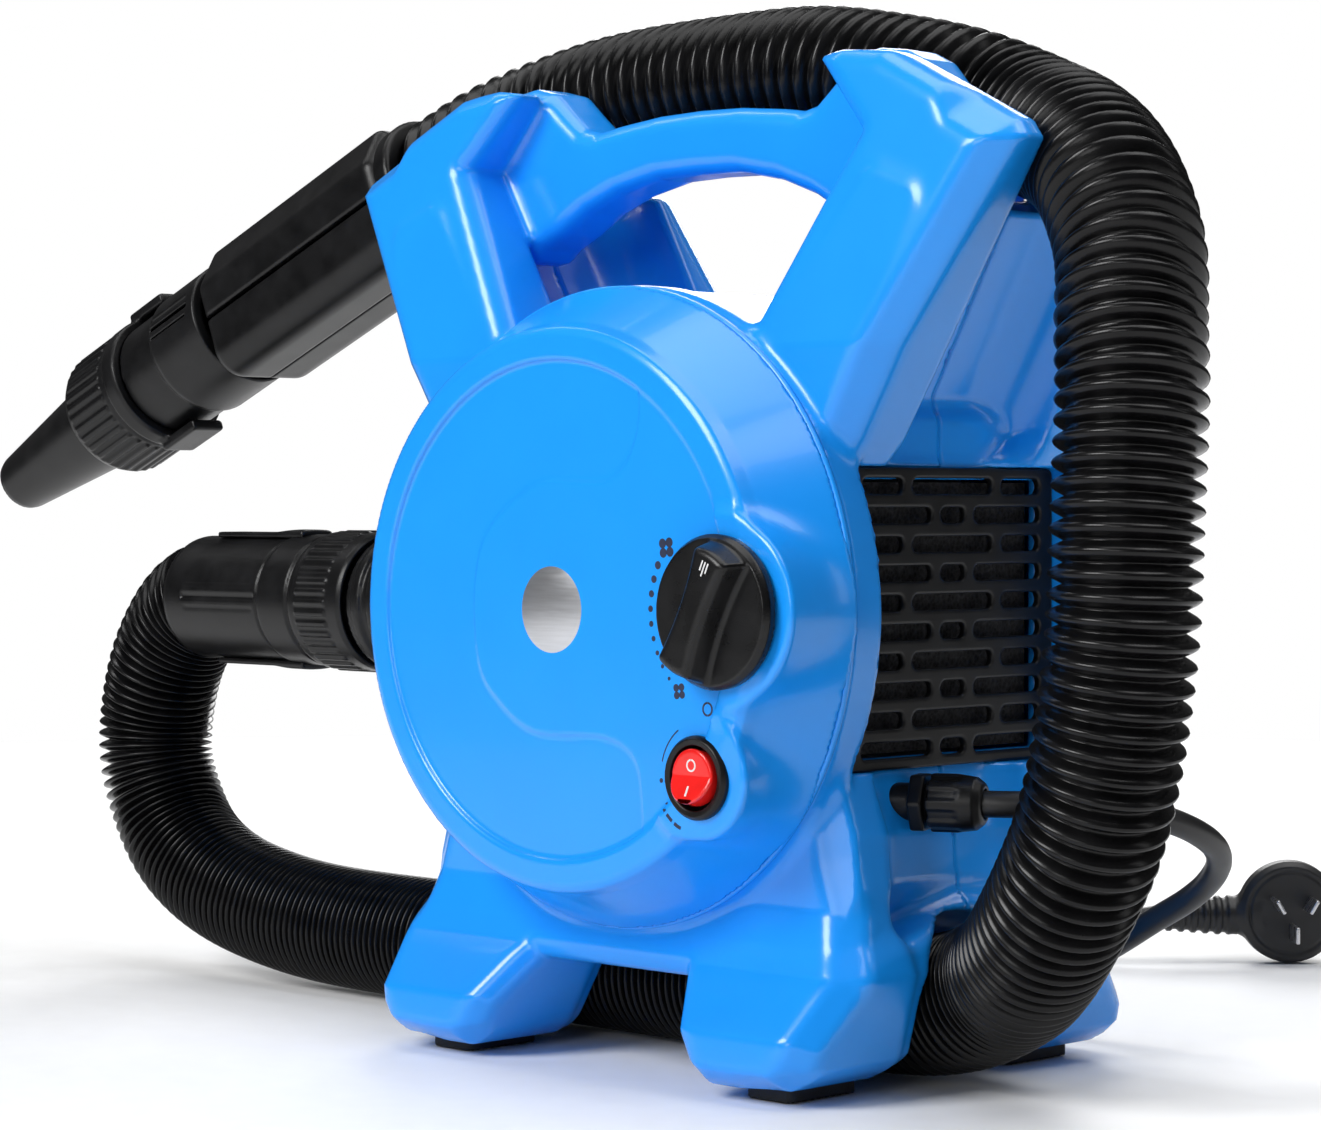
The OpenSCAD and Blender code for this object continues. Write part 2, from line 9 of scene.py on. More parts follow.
import bpy
import numpy as np
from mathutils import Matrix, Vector


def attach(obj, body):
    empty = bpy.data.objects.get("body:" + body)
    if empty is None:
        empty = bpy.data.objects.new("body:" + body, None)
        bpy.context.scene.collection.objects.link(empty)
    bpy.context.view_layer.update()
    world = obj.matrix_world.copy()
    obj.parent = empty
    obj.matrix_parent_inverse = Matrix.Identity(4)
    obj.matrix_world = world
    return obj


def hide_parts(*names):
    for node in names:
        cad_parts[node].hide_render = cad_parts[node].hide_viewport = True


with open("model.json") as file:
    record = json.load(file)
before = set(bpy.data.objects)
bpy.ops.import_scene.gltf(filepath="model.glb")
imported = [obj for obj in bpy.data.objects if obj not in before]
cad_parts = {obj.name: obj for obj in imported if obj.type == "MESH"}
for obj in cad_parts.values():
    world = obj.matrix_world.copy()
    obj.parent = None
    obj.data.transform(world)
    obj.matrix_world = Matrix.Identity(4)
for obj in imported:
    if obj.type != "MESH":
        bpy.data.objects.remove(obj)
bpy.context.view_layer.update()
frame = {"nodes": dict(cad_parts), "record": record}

MM = 0.001

# Driving places and sizes, in millimetres, as the CAD model has them.
DRUM_Z = 160
DRUM_R = 110
FACE_Y = -97
KNOB = (81, 161)
SWITCH = (70.5, 107)
AIR = (-4, 157)
HAND_AT = np.array([-177.0, 10.0, 323.0])
HAND_DIP = math.radians(22.5)
GRIP_W, GRIP_D = 57, 50
GLAND_AT = np.array([95.0, -19.0, 96.0])
PLUG_AT = np.array([-4.0, 339.0, 22.0])
HOSE_R, HOSE_VALLEY = 24.0, 19.2
CORD_R = 4.5
COIL_AT = (-50.0, 153.0)


# ---- Camera ----

LENS, SENSOR, FAR_CLIP = 95.35, 36, 50
CAMERA_AT = (0.862, -0.906, 0.196)
CAMERA_LOOK = (-0.7071, 0.7071, -0.0177)


def make_camera():
    data = bpy.data.cameras.new("camera")
    data.lens = LENS
    data.sensor_width = SENSOR
    data.clip_end = FAR_CLIP
    cam = bpy.data.objects.new("camera", data)
    bpy.context.scene.collection.objects.link(cam)
    cam.location = CAMERA_AT
    look = Vector(CAMERA_LOOK)
    cam.rotation_euler = look.to_track_quat("-Z", "Y").to_euler()
    bpy.context.scene.camera = cam


# ---- Materials ----

def node_material(name):
    mat = bpy.data.materials.new(name)
    mat.use_nodes = True
    tree = mat.node_tree
    return mat, tree, tree.nodes["Principled BSDF"]


def noise(tree, scale, detail=4, stretch=(1, 1, 1)):
    coords = tree.nodes.new("ShaderNodeTexCoord")
    mapping = tree.nodes.new("ShaderNodeMapping")
    mapping.inputs["Scale"].default_value = stretch
    tex = tree.nodes.new("ShaderNodeTexNoise")
    tex.inputs["Scale"].default_value = scale
    tex.inputs["Detail"].default_value = detail
    tree.links.new(coords.outputs["Object"], mapping.inputs["Vector"])
    tree.links.new(mapping.outputs["Vector"], tex.inputs["Vector"])
    return tex


def ramp_to(tree, source, socket, low, high, a=0.3, b=0.7):
    """Colour or grey value that runs from low to high over the noise."""
    ramp = tree.nodes.new("ShaderNodeValToRGB")
    ramp.color_ramp.elements[0].position = a
    ramp.color_ramp.elements[1].position = b
    ramp.color_ramp.elements[0].color = low if len(low) == 4 else (*low, 1)
    ramp.color_ramp.elements[1].color = high if len(high) == 4 else (*high, 1)
    tree.links.new(source.outputs["Fac"], ramp.inputs["Fac"])
    tree.links.new(ramp.outputs["Color"], socket)


def grey_range(tree, source, socket, low, high):
    spread = tree.nodes.new("ShaderNodeMapRange")
    spread.inputs["To Min"].default_value = low
    spread.inputs["To Max"].default_value = high
    tree.links.new(source.outputs["Fac"], spread.inputs["Value"])
    tree.links.new(spread.outputs["Result"], socket)


def plastic(name, colour, rough, grain=900, bump=0.05, vary=0.12, coat=0.0, metal=0.0,
            stretch=(1, 1, 1), wear=90, ior=1.5, span=0.22):
    """Moulded or metal surface: uneven colour, worn roughness and a fine grain."""
    mat, tree, shader = node_material(name)
    broad = noise(tree, wear, 5, stretch)
    fine = noise(tree, grain, 3, stretch)
    dark = tuple(c * (1 - vary) for c in colour)
    light = tuple(min(1, c * (1 + vary) + vary * 0.01) for c in colour)
    ramp_to(tree, broad, shader.inputs["Base Color"], dark, light)
    grey_range(tree, broad, shader.inputs["Roughness"], rough * (1 - span), rough * (1 + span))
    grain_bump = tree.nodes.new("ShaderNodeBump")
    grain_bump.inputs["Strength"].default_value = bump
    grain_bump.inputs["Distance"].default_value = 0.0004
    tree.links.new(fine.outputs["Fac"], grain_bump.inputs["Height"])
    tree.links.new(grain_bump.outputs["Normal"], shader.inputs["Normal"])
    shader.inputs["Metallic"].default_value = metal
    shader.inputs["Coat Weight"].default_value = coat
    shader.inputs["Coat Roughness"].default_value = 0.06
    shader.inputs["IOR"].default_value = ior
    return mat


def make_materials():
    m = {}
    m["blue_shell"] = plastic("blue_gloss", (0.008, 0.29, 0.90), 0.25, 1400, 0.02, 0.02,
                              coat=0.2, wear=30, ior=1.5, span=0.06)
    m["black_plastic"] = plastic("black_satin", (0.0035, 0.0035, 0.004), 0.34, 2200, 0.14, 0.3, ior=1.36)
    m["knob_plastic"] = plastic("knob_satin", (0.004, 0.004, 0.0045), 0.28, 2000, 0.10, 0.3, ior=1.38)
    m["hose_plastic"] = plastic("hose_gloss", (0.0026, 0.0026, 0.003), 0.24, 1500, 0.05, 0.3, ior=1.32)
    m["badge"] = plastic("badge_satin", (0.60, 0.61, 0.64), 0.32, 700, 0.05, 0.06, 0, 0.9, (1, 1, 14))
    m["red_rocker"] = plastic("red_gloss", (0.80, 0.012, 0.010), 0.22, 1500, 0.04, 0.08, 0.4)
    m["steel"] = plastic("steel_brushed", (0.60, 0.60, 0.62), 0.28, 900, 0.10, 0.08, 0, 1, (1, 9, 1))
    m["aluminium"] = plastic("aluminium_cast", (0.68, 0.69, 0.70), 0.42, 500, 0.25, 0.08, 0, 1)
    m["lamination"] = plastic("lamination", (0.22, 0.15, 0.10), 0.5, 600, 0.3, 0.2, 0.2, 0.4, (24, 1, 1))
    m["brass"] = plastic("brass", (0.72, 0.50, 0.20), 0.3, 800, 0.1, 0.1, 0, 1)
    m["foam"] = foam_material()
    m["pale_plastic"] = plastic("pale_plastic", (0.74, 0.74, 0.70), 0.45, 1500, 0.1, 0.05)
    m["rubber"] = plastic("rubber", (0.008, 0.008, 0.009), 0.72, 1700, 0.35, 0.25)
    m["mica"] = plastic("mica_board", (0.62, 0.52, 0.36), 0.6, 400, 0.3, 0.18, 0, 0, (1, 5, 1))
    m["circuit_board"] = plastic("board_lacquer", (0.02, 0.20, 0.06), 0.3, 300, 0.2, 0.25, 0.4)
    m["cord_rubber"] = plastic("cord_sheath", (0.006, 0.006, 0.007), 0.42, 1800, 0.12, 0.25)
    m["tie"] = plastic("tie_weave", (0.05, 0.05, 0.05), 0.7, 1500, 0.5, 0.3, 0, 0, (1, 1, 5))
    m["print_ink"] = plastic("print_ink", (0.012, 0.018, 0.05), 0.5, 2500, 0.1, 0.2)
    m["print_white"] = plastic("print_white", (0.72, 0.72, 0.72), 0.5, 2500, 0.1, 0.08)
    return m


def foam_material():
    """Open-cell filter foam: painted shade darkens the middle of each cell, between paler walls."""
    mat, tree, shader = node_material("filter_foam")
    coords = tree.nodes.new("ShaderNodeTexCoord")
    cells = tree.nodes.new("ShaderNodeTexVoronoi")
    cells.inputs["Scale"].default_value = 620
    tree.links.new(coords.outputs["Object"], cells.inputs["Vector"])
    # Painted shade: the colour is darkest in the middle of each pore and paler on the cell walls.
    ramp = tree.nodes.new("ShaderNodeValToRGB")
    ramp.color_ramp.elements[0].color = (0.004, 0.004, 0.004, 1)
    ramp.color_ramp.elements[1].color = (0.05, 0.05, 0.055, 1)
    tree.links.new(cells.outputs["Distance"], ramp.inputs["Fac"])
    tree.links.new(ramp.outputs["Color"], shader.inputs["Base Color"])
    bump = tree.nodes.new("ShaderNodeBump")
    bump.inputs["Strength"].default_value = 0.8
    bump.inputs["Distance"].default_value = 0.001
    tree.links.new(cells.outputs["Distance"], bump.inputs["Height"])
    tree.links.new(bump.outputs["Normal"], shader.inputs["Normal"])
    shader.inputs["Roughness"].default_value = 0.9
    return mat


# ---- Mesh helpers ----

def new_piece(name, verts_mm, faces, slot, body="housing", smooth=True):
    """Mesh object from millimetre points, riding on a body, with its slot's material."""
    mesh = bpy.data.meshes.new(name)
    verts = np.asarray(verts_mm, float) * MM
    mesh.from_pydata(verts.tolist(), [], faces if isinstance(faces, list) else faces.tolist())
    mesh.update()
    mesh.polygons.foreach_set("use_smooth", [smooth] * len(mesh.polygons))
    piece = bpy.data.objects.new(name, mesh)
    bpy.context.scene.collection.objects.link(piece)
    mesh.materials.append(MATERIALS[slot])
    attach(piece, body)
    return piece


def catmull(points, step):
    """Points every step along a smooth curve through the route points."""
    p = np.asarray(points, float)
    ends = np.vstack([2 * p[0] - p[1], p, 2 * p[-1] - p[-2]])
    fine = []
    for i in range(1, len(ends) - 2):
        a, b, c, d = ends[i - 1], ends[i], ends[i + 1], ends[i + 2]
        for t in np.linspace(0, 1, 24, endpoint=False):
            fine.append(0.5 * (2 * b + (c - a) * t + (2 * a - 5 * b + 4 * c - d) * t * t
                               + (3 * b - a - 3 * c + d) * t ** 3))
    fine.append(p[-1])
    fine = np.array(fine)
    length = np.concatenate([[0], np.cumsum(np.linalg.norm(np.diff(fine, axis=0), axis=1))])
    at = np.linspace(0, length[-1], max(2, int(round(length[-1] / step)) + 1))
    return np.stack([np.interp(at, length, fine[:, k]) for k in range(3)], 1), at


def tube_mesh(centres, radii, sides):
    """Rings of a tube with rotation-minimising frames, closed by a fan at each end."""
    c = np.asarray(centres, float)
    tangent = np.gradient(c, axis=0)
    tangent /= np.linalg.norm(tangent, axis=1)[:, None]
    side = np.cross(tangent[0], [0.0, 1.0, 0.0])
    if np.linalg.norm(side) < 0.1:
        side = np.cross(tangent[0], [0.0, 0.0, 1.0])
    angle = np.linspace(0, 2 * math.pi, sides, endpoint=False)
    rings = []
    for i, t in enumerate(tangent):
        side = side - t * (side @ t)
        side /= np.linalg.norm(side)
        up = np.cross(t, side)
        rings.append(c[i] + radii[i] * (np.cos(angle)[:, None] * side + np.sin(angle)[:, None] * up))
    verts = np.vstack(rings + [c[:1], c[-1:]])
    n = len(c)
    ring, k = np.meshgrid(np.arange(n - 1), np.arange(sides), indexing="ij")
    a = (ring * sides + k).ravel()
    b = (ring * sides + (k + 1) % sides).ravel()
    faces = np.stack([a, b, b + sides, a + sides], 1).tolist()
    first, last = n * sides, n * sides + 1
    faces += [[(j + 1) % sides, j, first] for j in range(sides)]
    top = (n - 1) * sides
    faces += [[top + j, top + (j + 1) % sides, last] for j in range(sides)]
    return verts, faces


# ---- Distance field helpers ----

def smin(a, b, k):
    h = np.maximum(k - np.abs(a - b), 0) / k
    return np.minimum(a, b) - h * h * k / 4


def smax(a, b, k):
    return -smin(-a, -b, k)


def poly_sdf(u, v, points):
    """Signed distance to a closed polygon, negative inside."""
    p = np.asarray(points, float)
    best = None
    inside = None
    for (ax, ay), (bx, by) in zip(p, np.roll(p, -1, axis=0)):
        ex, ey = bx - ax, by - ay
        wx, wy = u - ax, v - ay
        t = np.clip((wx * ex + wy * ey) / (ex * ex + ey * ey), 0, 1)
        d = (wx - ex * t) ** 2 + (wy - ey * t) ** 2
        best = d if best is None else np.minimum(best, d)
        crosses = ((ay > v) != (by > v)) & (u < ex * (v - ay) / (ey if ey else 1e-9) + ax)
        inside = crosses if inside is None else inside ^ crosses
    return np.where(inside, -1.0, 1.0) * np.sqrt(best)


def chamfer_cut(a, b, c, k):
    """Intersection of two fields whose shared edge has a chamfer c wide and a soft break k."""
    return smax(smax(a, b, k), (a + b + c) * math.sqrt(0.5), k)


def extrude(flat, along, half, r):
    """A flat field carried half a thickness each way, with edges of radius r."""
    q1, q2 = flat + r, np.abs(along) - half + r
    return np.hypot(np.maximum(q1, 0), np.maximum(q2, 0)) + np.minimum(np.maximum(q1, q2), 0) - r


CORNERS = np.array([(i, j, k) for i in (0, 1) for j in (0, 1) for k in (0, 1)])
EDGES = [(a, b) for a in range(8) for b in range(a + 1, 8)
         if np.abs(CORNERS[a] - CORNERS[b]).sum() == 1]


def surface_net(field, lo, step):
    """Quads around the zero set of a grid, one vertex in each cell that it crosses."""
    inside = field < 0
    count = np.zeros(tuple(n - 1 for n in field.shape), np.int8)
    for i, j, k in CORNERS:
        count += inside[i:inside.shape[0] - 1 + i, j:inside.shape[1] - 1 + j,
                        k:inside.shape[2] - 1 + k]
    active = np.argwhere((count > 0) & (count < 8))
    ids = np.full(count.shape, -1, np.int32)
    ids[tuple(active.T)] = np.arange(len(active))
    value = np.stack([field[tuple((active + c).T)] for c in CORNERS], 1)
    total = np.zeros((len(active), 3))
    hits = np.zeros(len(active))
    for a, b in EDGES:
        fa, fb = value[:, a], value[:, b]
        cross = (fa < 0) != (fb < 0)
        t = np.where(cross, fa / np.where(cross, fa - fb, 1), 0)
        point = CORNERS[a] + t[:, None] * (CORNERS[b] - CORNERS[a])
        total += np.where(cross[:, None], point, 0)
        hits += cross
    verts = (active + total / hits[:, None]) * step + lo
    quads = []
    for axis in range(3):
        b, c = (axis + 1) % 3, (axis + 2) % 3
        ea, eb, ec = np.eye(3, dtype=int)[[axis, b, c]]
        head = tuple(slice(0, -1) if d == axis else slice(1, -1) for d in range(3))
        tail = tuple(slice(1, None) if d == axis else slice(1, -1) for d in range(3))
        differ = inside[head] != inside[tail]
        at = np.argwhere(differ) + (1 - ea)
        starts_in = inside[tuple(at.T)]
        quad = np.stack([ids[tuple((at - eb - ec).T)], ids[tuple((at - ec).T)],
                         ids[tuple(at.T)], ids[tuple((at - eb).T)]], 1)
        quad[~starts_in] = quad[~starts_in][:, ::-1]
        quads.append(quad)
    return verts, np.vstack(quads)


def field_piece(name, function, lo, hi, step, slot, body="housing", place=None, rounds=2, rim=None):
    """Mesh of a field function, moved from its own frame by place, as a piece.

    rim is the uncut field of a piece that ends at Y = 0: vertices near that edge go onto it."""
    lo, hi = np.asarray(lo, float), np.asarray(hi, float)
    axes = [np.arange(lo[i] - 2 * step, hi[i] + 2.5 * step, step) for i in range(3)]
    grid = function(axes[0][:, None, None], axes[1][None, :, None], axes[2][None, None, :])
    full = np.broadcast_to(grid, tuple(len(a) for a in axes))
    verts, quads = surface_net(full, np.array([a[0] for a in axes]), step)
    h = 0.05
    for _ in range(rounds):
        x, y, z = verts.T
        f = function(x, y, z)
        grad = np.stack([function(x + h, y, z) - function(x - h, y, z),
                         function(x, y + h, z) - function(x, y - h, z),
                         function(x, y, z + h) - function(x, y, z - h)], 1) / (2 * h)
        size = np.maximum((grad ** 2).sum(1), 0.25)
        move = -f[:, None] * grad / size[:, None]
        verts = verts + np.clip(move, -0.45 * step, 0.45 * step)
    if rim is not None:
        x, y, z = verts.T
        near = (np.abs(y) < 0.7 * step) & (np.abs(rim(x, y, z)) < 0.5 * step)
        x, z, flat = x[near], z[near], np.zeros(int(near.sum()))
        for _ in range(3):
            f = rim(x, flat, z)
            gx = (rim(x + h, flat, z) - rim(x - h, flat, z)) / (2 * h)
            gz = (rim(x, flat, z + h) - rim(x, flat, z - h)) / (2 * h)
            share = f / np.maximum(gx * gx + gz * gz, 0.25)
            x, z = x - share * gx, z - share * gz
        verts[near] = np.stack([x, flat, z], 1)
    if place is not None:
        verts = place(verts)
    return new_piece(name, verts, quads, slot, body)


# ---- Air hose and mains cord, made first ----

HOSE_ROUTE = [(-0.306, -0.004, 0.157), (-0.318, -0.004, 0.151), (-0.329, -0.004, 0.140),
    (-0.338, -0.004, 0.125), (-0.345, -0.003, 0.105), (-0.345, -0.003, 0.086),
    (-0.338, -0.002, 0.067), (-0.325, -0.002, 0.051), (-0.304, -0.002, 0.039),
    (-0.274, -0.002, 0.031), (-0.230, -0.002, 0.026), (-0.160, -0.002, 0.025),
    (-0.060, -0.002, 0.025), (0.030, -0.002, 0.025), (0.080, -0.003, 0.025), (0.106, -0.004, 0.0293),
    (0.128, -0.009, 0.0385), (0.146, -0.021, 0.048), (0.162, -0.031, 0.061), (0.177, -0.039, 0.077),
    (0.189, -0.044, 0.095), (0.198, -0.047, 0.120), (0.204, -0.048, 0.155), (0.205, -0.047, 0.190),
    (0.203, -0.042, 0.228), (0.198, -0.036, 0.251), (0.191, -0.027, 0.273), (0.178, -0.017, 0.291),
    (0.160, -0.004, 0.305), (0.140, 0.008, 0.315), (0.120, 0.018, 0.322), (0.102, 0.0227, 0.329),
    (0.083, 0.022, 0.336), (0.055, 0.022, 0.343), (0.015, 0.022, 0.350), (-0.030, 0.022, 0.351),
    (-0.075, 0.022, 0.350), (-0.111, 0.0215, 0.346), (-0.146, 0.014, 0.336), (-0.177, 0.010, 0.323)]

CORD_ROUTE = [(0.104, -0.015, 0.096), (0.113, -0.011, 0.096), (0.122, -0.006, 0.096),
    (0.130, 0.001, 0.096), (0.136, 0.010, 0.096), (0.141, 0.021, 0.095), (0.146, 0.034, 0.093),
    (0.151, 0.048, 0.089), (0.152, 0.062, 0.084), (0.149, 0.076, 0.078), (0.142, 0.088, 0.071),
    (0.131, 0.097, 0.063), (0.118, 0.102, 0.055), (0.103, 0.104, 0.047), (0.088, 0.104, 0.038),
    (0.072, 0.104, 0.029), (0.055, 0.104, 0.020), (0.038, 0.104, 0.012), (0.022, 0.104, 0.007),
    (0.004, 0.104, 0.0045), (-0.015, 0.104, 0.0045)]

LEAD_ROUTE = [(-0.100, 0.170, 0.0045), (-0.099, 0.187, 0.0045), (-0.097, 0.205, 0.0045),
    (-0.093, 0.224, 0.005), (-0.086, 0.244, 0.007), (-0.076, 0.263, 0.010),
    (-0.063, 0.281, 0.015), (-0.042, 0.301, 0.020)]


def make_hose():
    """Corrugated hose: ring ribs that are packed where it is slack and open where it is pulled."""
    centres, at = catmull(np.array(HOSE_ROUTE) / MM, 1.0)
    share = at / at[-1]
    pitch = np.interp(share, [0, 0.10, 0.20, 0.42, 0.50, 0.58, 0.75, 1],
                      [4.4, 4.1, 3.5, 3.4, 5.0, 6.6, 7.2, 7.6])
    phase = np.concatenate([[0], np.cumsum(1 / pitch[1:])]) * (at[1] - at[0])
    rings_per_rib = 8
    ribs = int(phase[-1])
    ring_phase = np.arange(ribs * rings_per_rib + 1) / rings_per_rib
    ring_at = np.interp(ring_phase, phase, at)
    path = np.stack([np.interp(ring_at, at, centres[:, k]) for k in range(3)], 1)
    ridge = (0.5 - 0.5 * np.cos(2 * math.pi * ring_phase)) ** 0.55
    radii = HOSE_VALLEY + (HOSE_R - HOSE_VALLEY) * ridge
    radii[0] = radii[-1] = HOSE_VALLEY
    verts, faces = tube_mesh(path, radii, 48)
    hose = new_piece("corrugated_hose", verts, faces, "hose_plastic")
    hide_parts("air_hose")
    return hose, path * MM, at[-1] * MM


def coil_path():
    """Turns of the stored cord: up the inner column, over, and down the outer one."""
    inner, outer, low, rise = 45.5, 54.5, 4.5, 9.0
    stations = [(inner, low), (inner, low + rise), (inner, low + 2 * rise),
                (outer, low + 2 * rise), (outer, low + rise), (outer, low)]
    points = []
    per_turn = 24
    total = int(5.25 * per_turn)
    for i in range(1, total + 1):
        turn = i / per_turn
        k = min(int(turn), len(stations) - 1)
        shift = np.clip((turn - k) * 5, 0, 1) if k else 1
        shift = shift * shift * (3 - 2 * shift)
        a, b = stations[max(k - 1, 0)], stations[k]
        r = a[0] + (b[0] - a[0]) * shift
        z = a[1] + (b[1] - a[1]) * shift
        angle = -math.pi / 2 - 2 * math.pi * turn
        points.append((COIL_AT[0] + r * math.cos(angle), COIL_AT[1] + r * math.sin(angle), z))
    return points


def make_mains_cord():
    route = [tuple(np.array(p) / MM) for p in CORD_ROUTE]
    lead = [tuple(np.array(p) / MM) for p in LEAD_ROUTE]
    path, at = catmull(route + coil_path() + lead[1:], 3.0)
    path[:, 2] = np.maximum(path[:, 2], CORD_R + 0.05)
    verts, faces = tube_mesh(path, np.full(len(path), CORD_R), 18)
    cord = new_piece("mains_cord", verts, faces, "cord_rubber")
    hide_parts("power_cord", "cord_coil", "cord_lead")
    return cord, path * MM, at[-1] * MM


make_camera()
MATERIALS = make_materials()
hose, hose_path, hose_length = make_hose()
mains, mains_path, mains_length = make_mains_cord()


# ---- Body shells ----

# How far a post leans: rise over run, and the height its lean is measured from.
POST_SLOPE, POST_MIDDLE_Z = 1.71, 258
# The air intake on the right side: middle (Y, Z).
INTAKE_Y, INTAKE_Z = 4.5, 157.5
SIDE = [(-80, 2.6), (-86, 12), (-85, 22), (-69, 41), (-62, 62), (-61, 200), (-64, 248), (-50, 326),
        (-46, 349), (60, 349), (60, 2.6)]
FOOT = [(-60, 38), (37, 38), (58, 2.6), (95, 2.6), (104, 14), (111, 41), (107, 52), (98, 80),
        (92, 110), (89, 140), (89, 182), (94, 205), (102, 216)]
FRONT_POST = [(161, 312), (157, 318), (130, 332), (104, 345), (84, 348), (72, 345), (96, 318),
              (61, 258), (52, 252), (-60, 250)]
REAR_POST = [(139, 290), (135, 299), (118, 311), (104, 314), (88, 312), (61, 262), (52, 252),
             (-60, 250)]
WEB = [(-60, 50), (84, 50), (97, 70), (96, 86), (89, 103), (89, 209), (76, 213), (111, 277),
       (120, 293), (108, 298), (98, 280), (67, 227), (60, 240), (-60, 240)]
HANDLE = [(-30, 334), (0, 334), (20, 333.5), (40, 331.5), (50, 330), (57, 331.5), (65, 338),
          (74, 346), (84, 348.5), (95, 347), (103, 343), (109, 336), (112, 326),
          (110, 308), (100, 292), (90, 284), (84, 285), (79, 289), (68, 294), (56, 301), (40, 307), (20, 311),
          (0, 311.5), (-30, 311.5)]


def drum_field(x, y, z, profile):
    return poly_sdf(np.hypot(x, z - DRUM_Z), y, profile)


def step_up(v, a, b):
    t = np.clip((v - a) / (b - a), 0, 1)
    return t * t * (3 - 2 * t)


def body_field(x, y, z, front):
    """One half of the body. Forward is -Y, and the rear half is worked out mirrored."""
    u = np.abs(x)
    w = y if front else -y
    outline = poly_sdf(u, z, FOOT + (FRONT_POST if front else REAR_POST))
    depth = poly_sdf(w, z, SIDE)
    post = step_up(z, 190, 245)
    low_outer = step_up(u, 70, 90)
    outer = step_up(u - (z - POST_MIDDLE_Z) / POST_SLOPE, 86, 102)
    width = post * (5 + 5.5 * outer) + (1 - post) * (6 + 2.5 * low_outer)
    flange = chamfer_cut(outline, depth, width, 2.5)
    gap = 40 - 9 * step_up(z, 200, 216) if front else 40 + 2 * step_up(z, 200, 216)
    upper = smax(flange, w + gap, 3)
    foot = smax(flange, z - 47 - 0.28 * (w + 53), 6)
    body = smin(upper, foot, 8)
    web = smax(poly_sdf(u, z, WEB), np.abs(y) - 50, 1)
    body = smin(body, web, 13 + 18 * step_up(y, -5, 30))
    rim = [(-40, -66), (110, -66), (110, -52), (-40, -52)]
    back = [(-40, -80), (95, -80), (110, -66), (110, -59), (-40, -59)]
    drum = drum_field(x, w, z, rim if front else back)
    waist = smax(np.hypot(x, z - DRUM_Z) - DRUM_R, smax(u - 89, np.abs(y) - 60, 1), 1.5)
    body = smin(smin(body, drum, 5), waist, 4)
    pocket = np.maximum(np.maximum(89.3 - x, np.abs(y - INTAKE_Y) - 53.8),
                        np.abs(z - INTAKE_Z) - 50.8)
    body = smax(body, -pocket, 0.8)
    if front:
        bar = extrude(poly_sdf(u, z, HANDLE), y + 16, 13.5, 7)
        body = smin(body, bar, 5)
    arch = np.where(z > 30, np.hypot(y + 1.5, z - 30), np.abs(y + 1.5)) - 28.5
    body = smax(body, -arch, 4)
    inner = drum_field(x, w, z, [(-40, -90), (106, -90), (106, -55.5), (-40, -55.5)]) if front \
        else drum + 3.5
    hollow = smax(np.hypot(x, z - DRUM_Z) - DRUM_R + 4, smax(u - 85, np.abs(y) - 62, 1), 1)
    body = smax(body, -smin(inner, hollow, 1), 1)
    intake = np.maximum(np.maximum(78 - x, x - 130), np.maximum(np.abs(y - INTAKE_Y) - 48,
                                                                 np.abs(z - INTAKE_Z) - 46.5))
    outlet = np.maximum(np.hypot(y - AIR[0], z - AIR[1]) - 30, x + 60)
    body = smax(smax(body, -intake, 1), -outlet, 1)
    return body


def make_shells():
    """The two halves meet at Y = 0, where their rims are snapped to the parting plane."""
    for name, front, lo, hi, step in (
            ("front_shell_moulding", True, (-163, -98, 2.2), (163, 0, 350), 1.6),
            ("rear_shell_moulding", False, (-163, 0, 2.2), (163, 87, 350), 1.8)):
        whole = lambda x, y, z, f=front: body_field(x, y, z, f)
        half = lambda x, y, z, f=front: np.maximum(body_field(x, y, z, f), y if f else -y)
        shell = field_piece(name, half, lo, hi, step, "blue_shell", rim=whole)
        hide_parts(*(("front_shell", "carry_handle") if front else ("rear_shell",)))


# ---- Front cover ----

STEP_LINE = [(41, 84), (41, 60), (28, 44), (-6, 43), (-31, 28), (-39, 8), (-37, -19), (-27, -32),
             (-8, -42), (24, -42), (39, -48), (43, -61), (44, -84)]


def step_region():
    line, _ = catmull([(a, b, 0) for a, b in STEP_LINE], 4.0)
    return [(a, b) for a, b, _ in line] + [(130, -90), (130, 90)]


STEP_REGION = step_region()


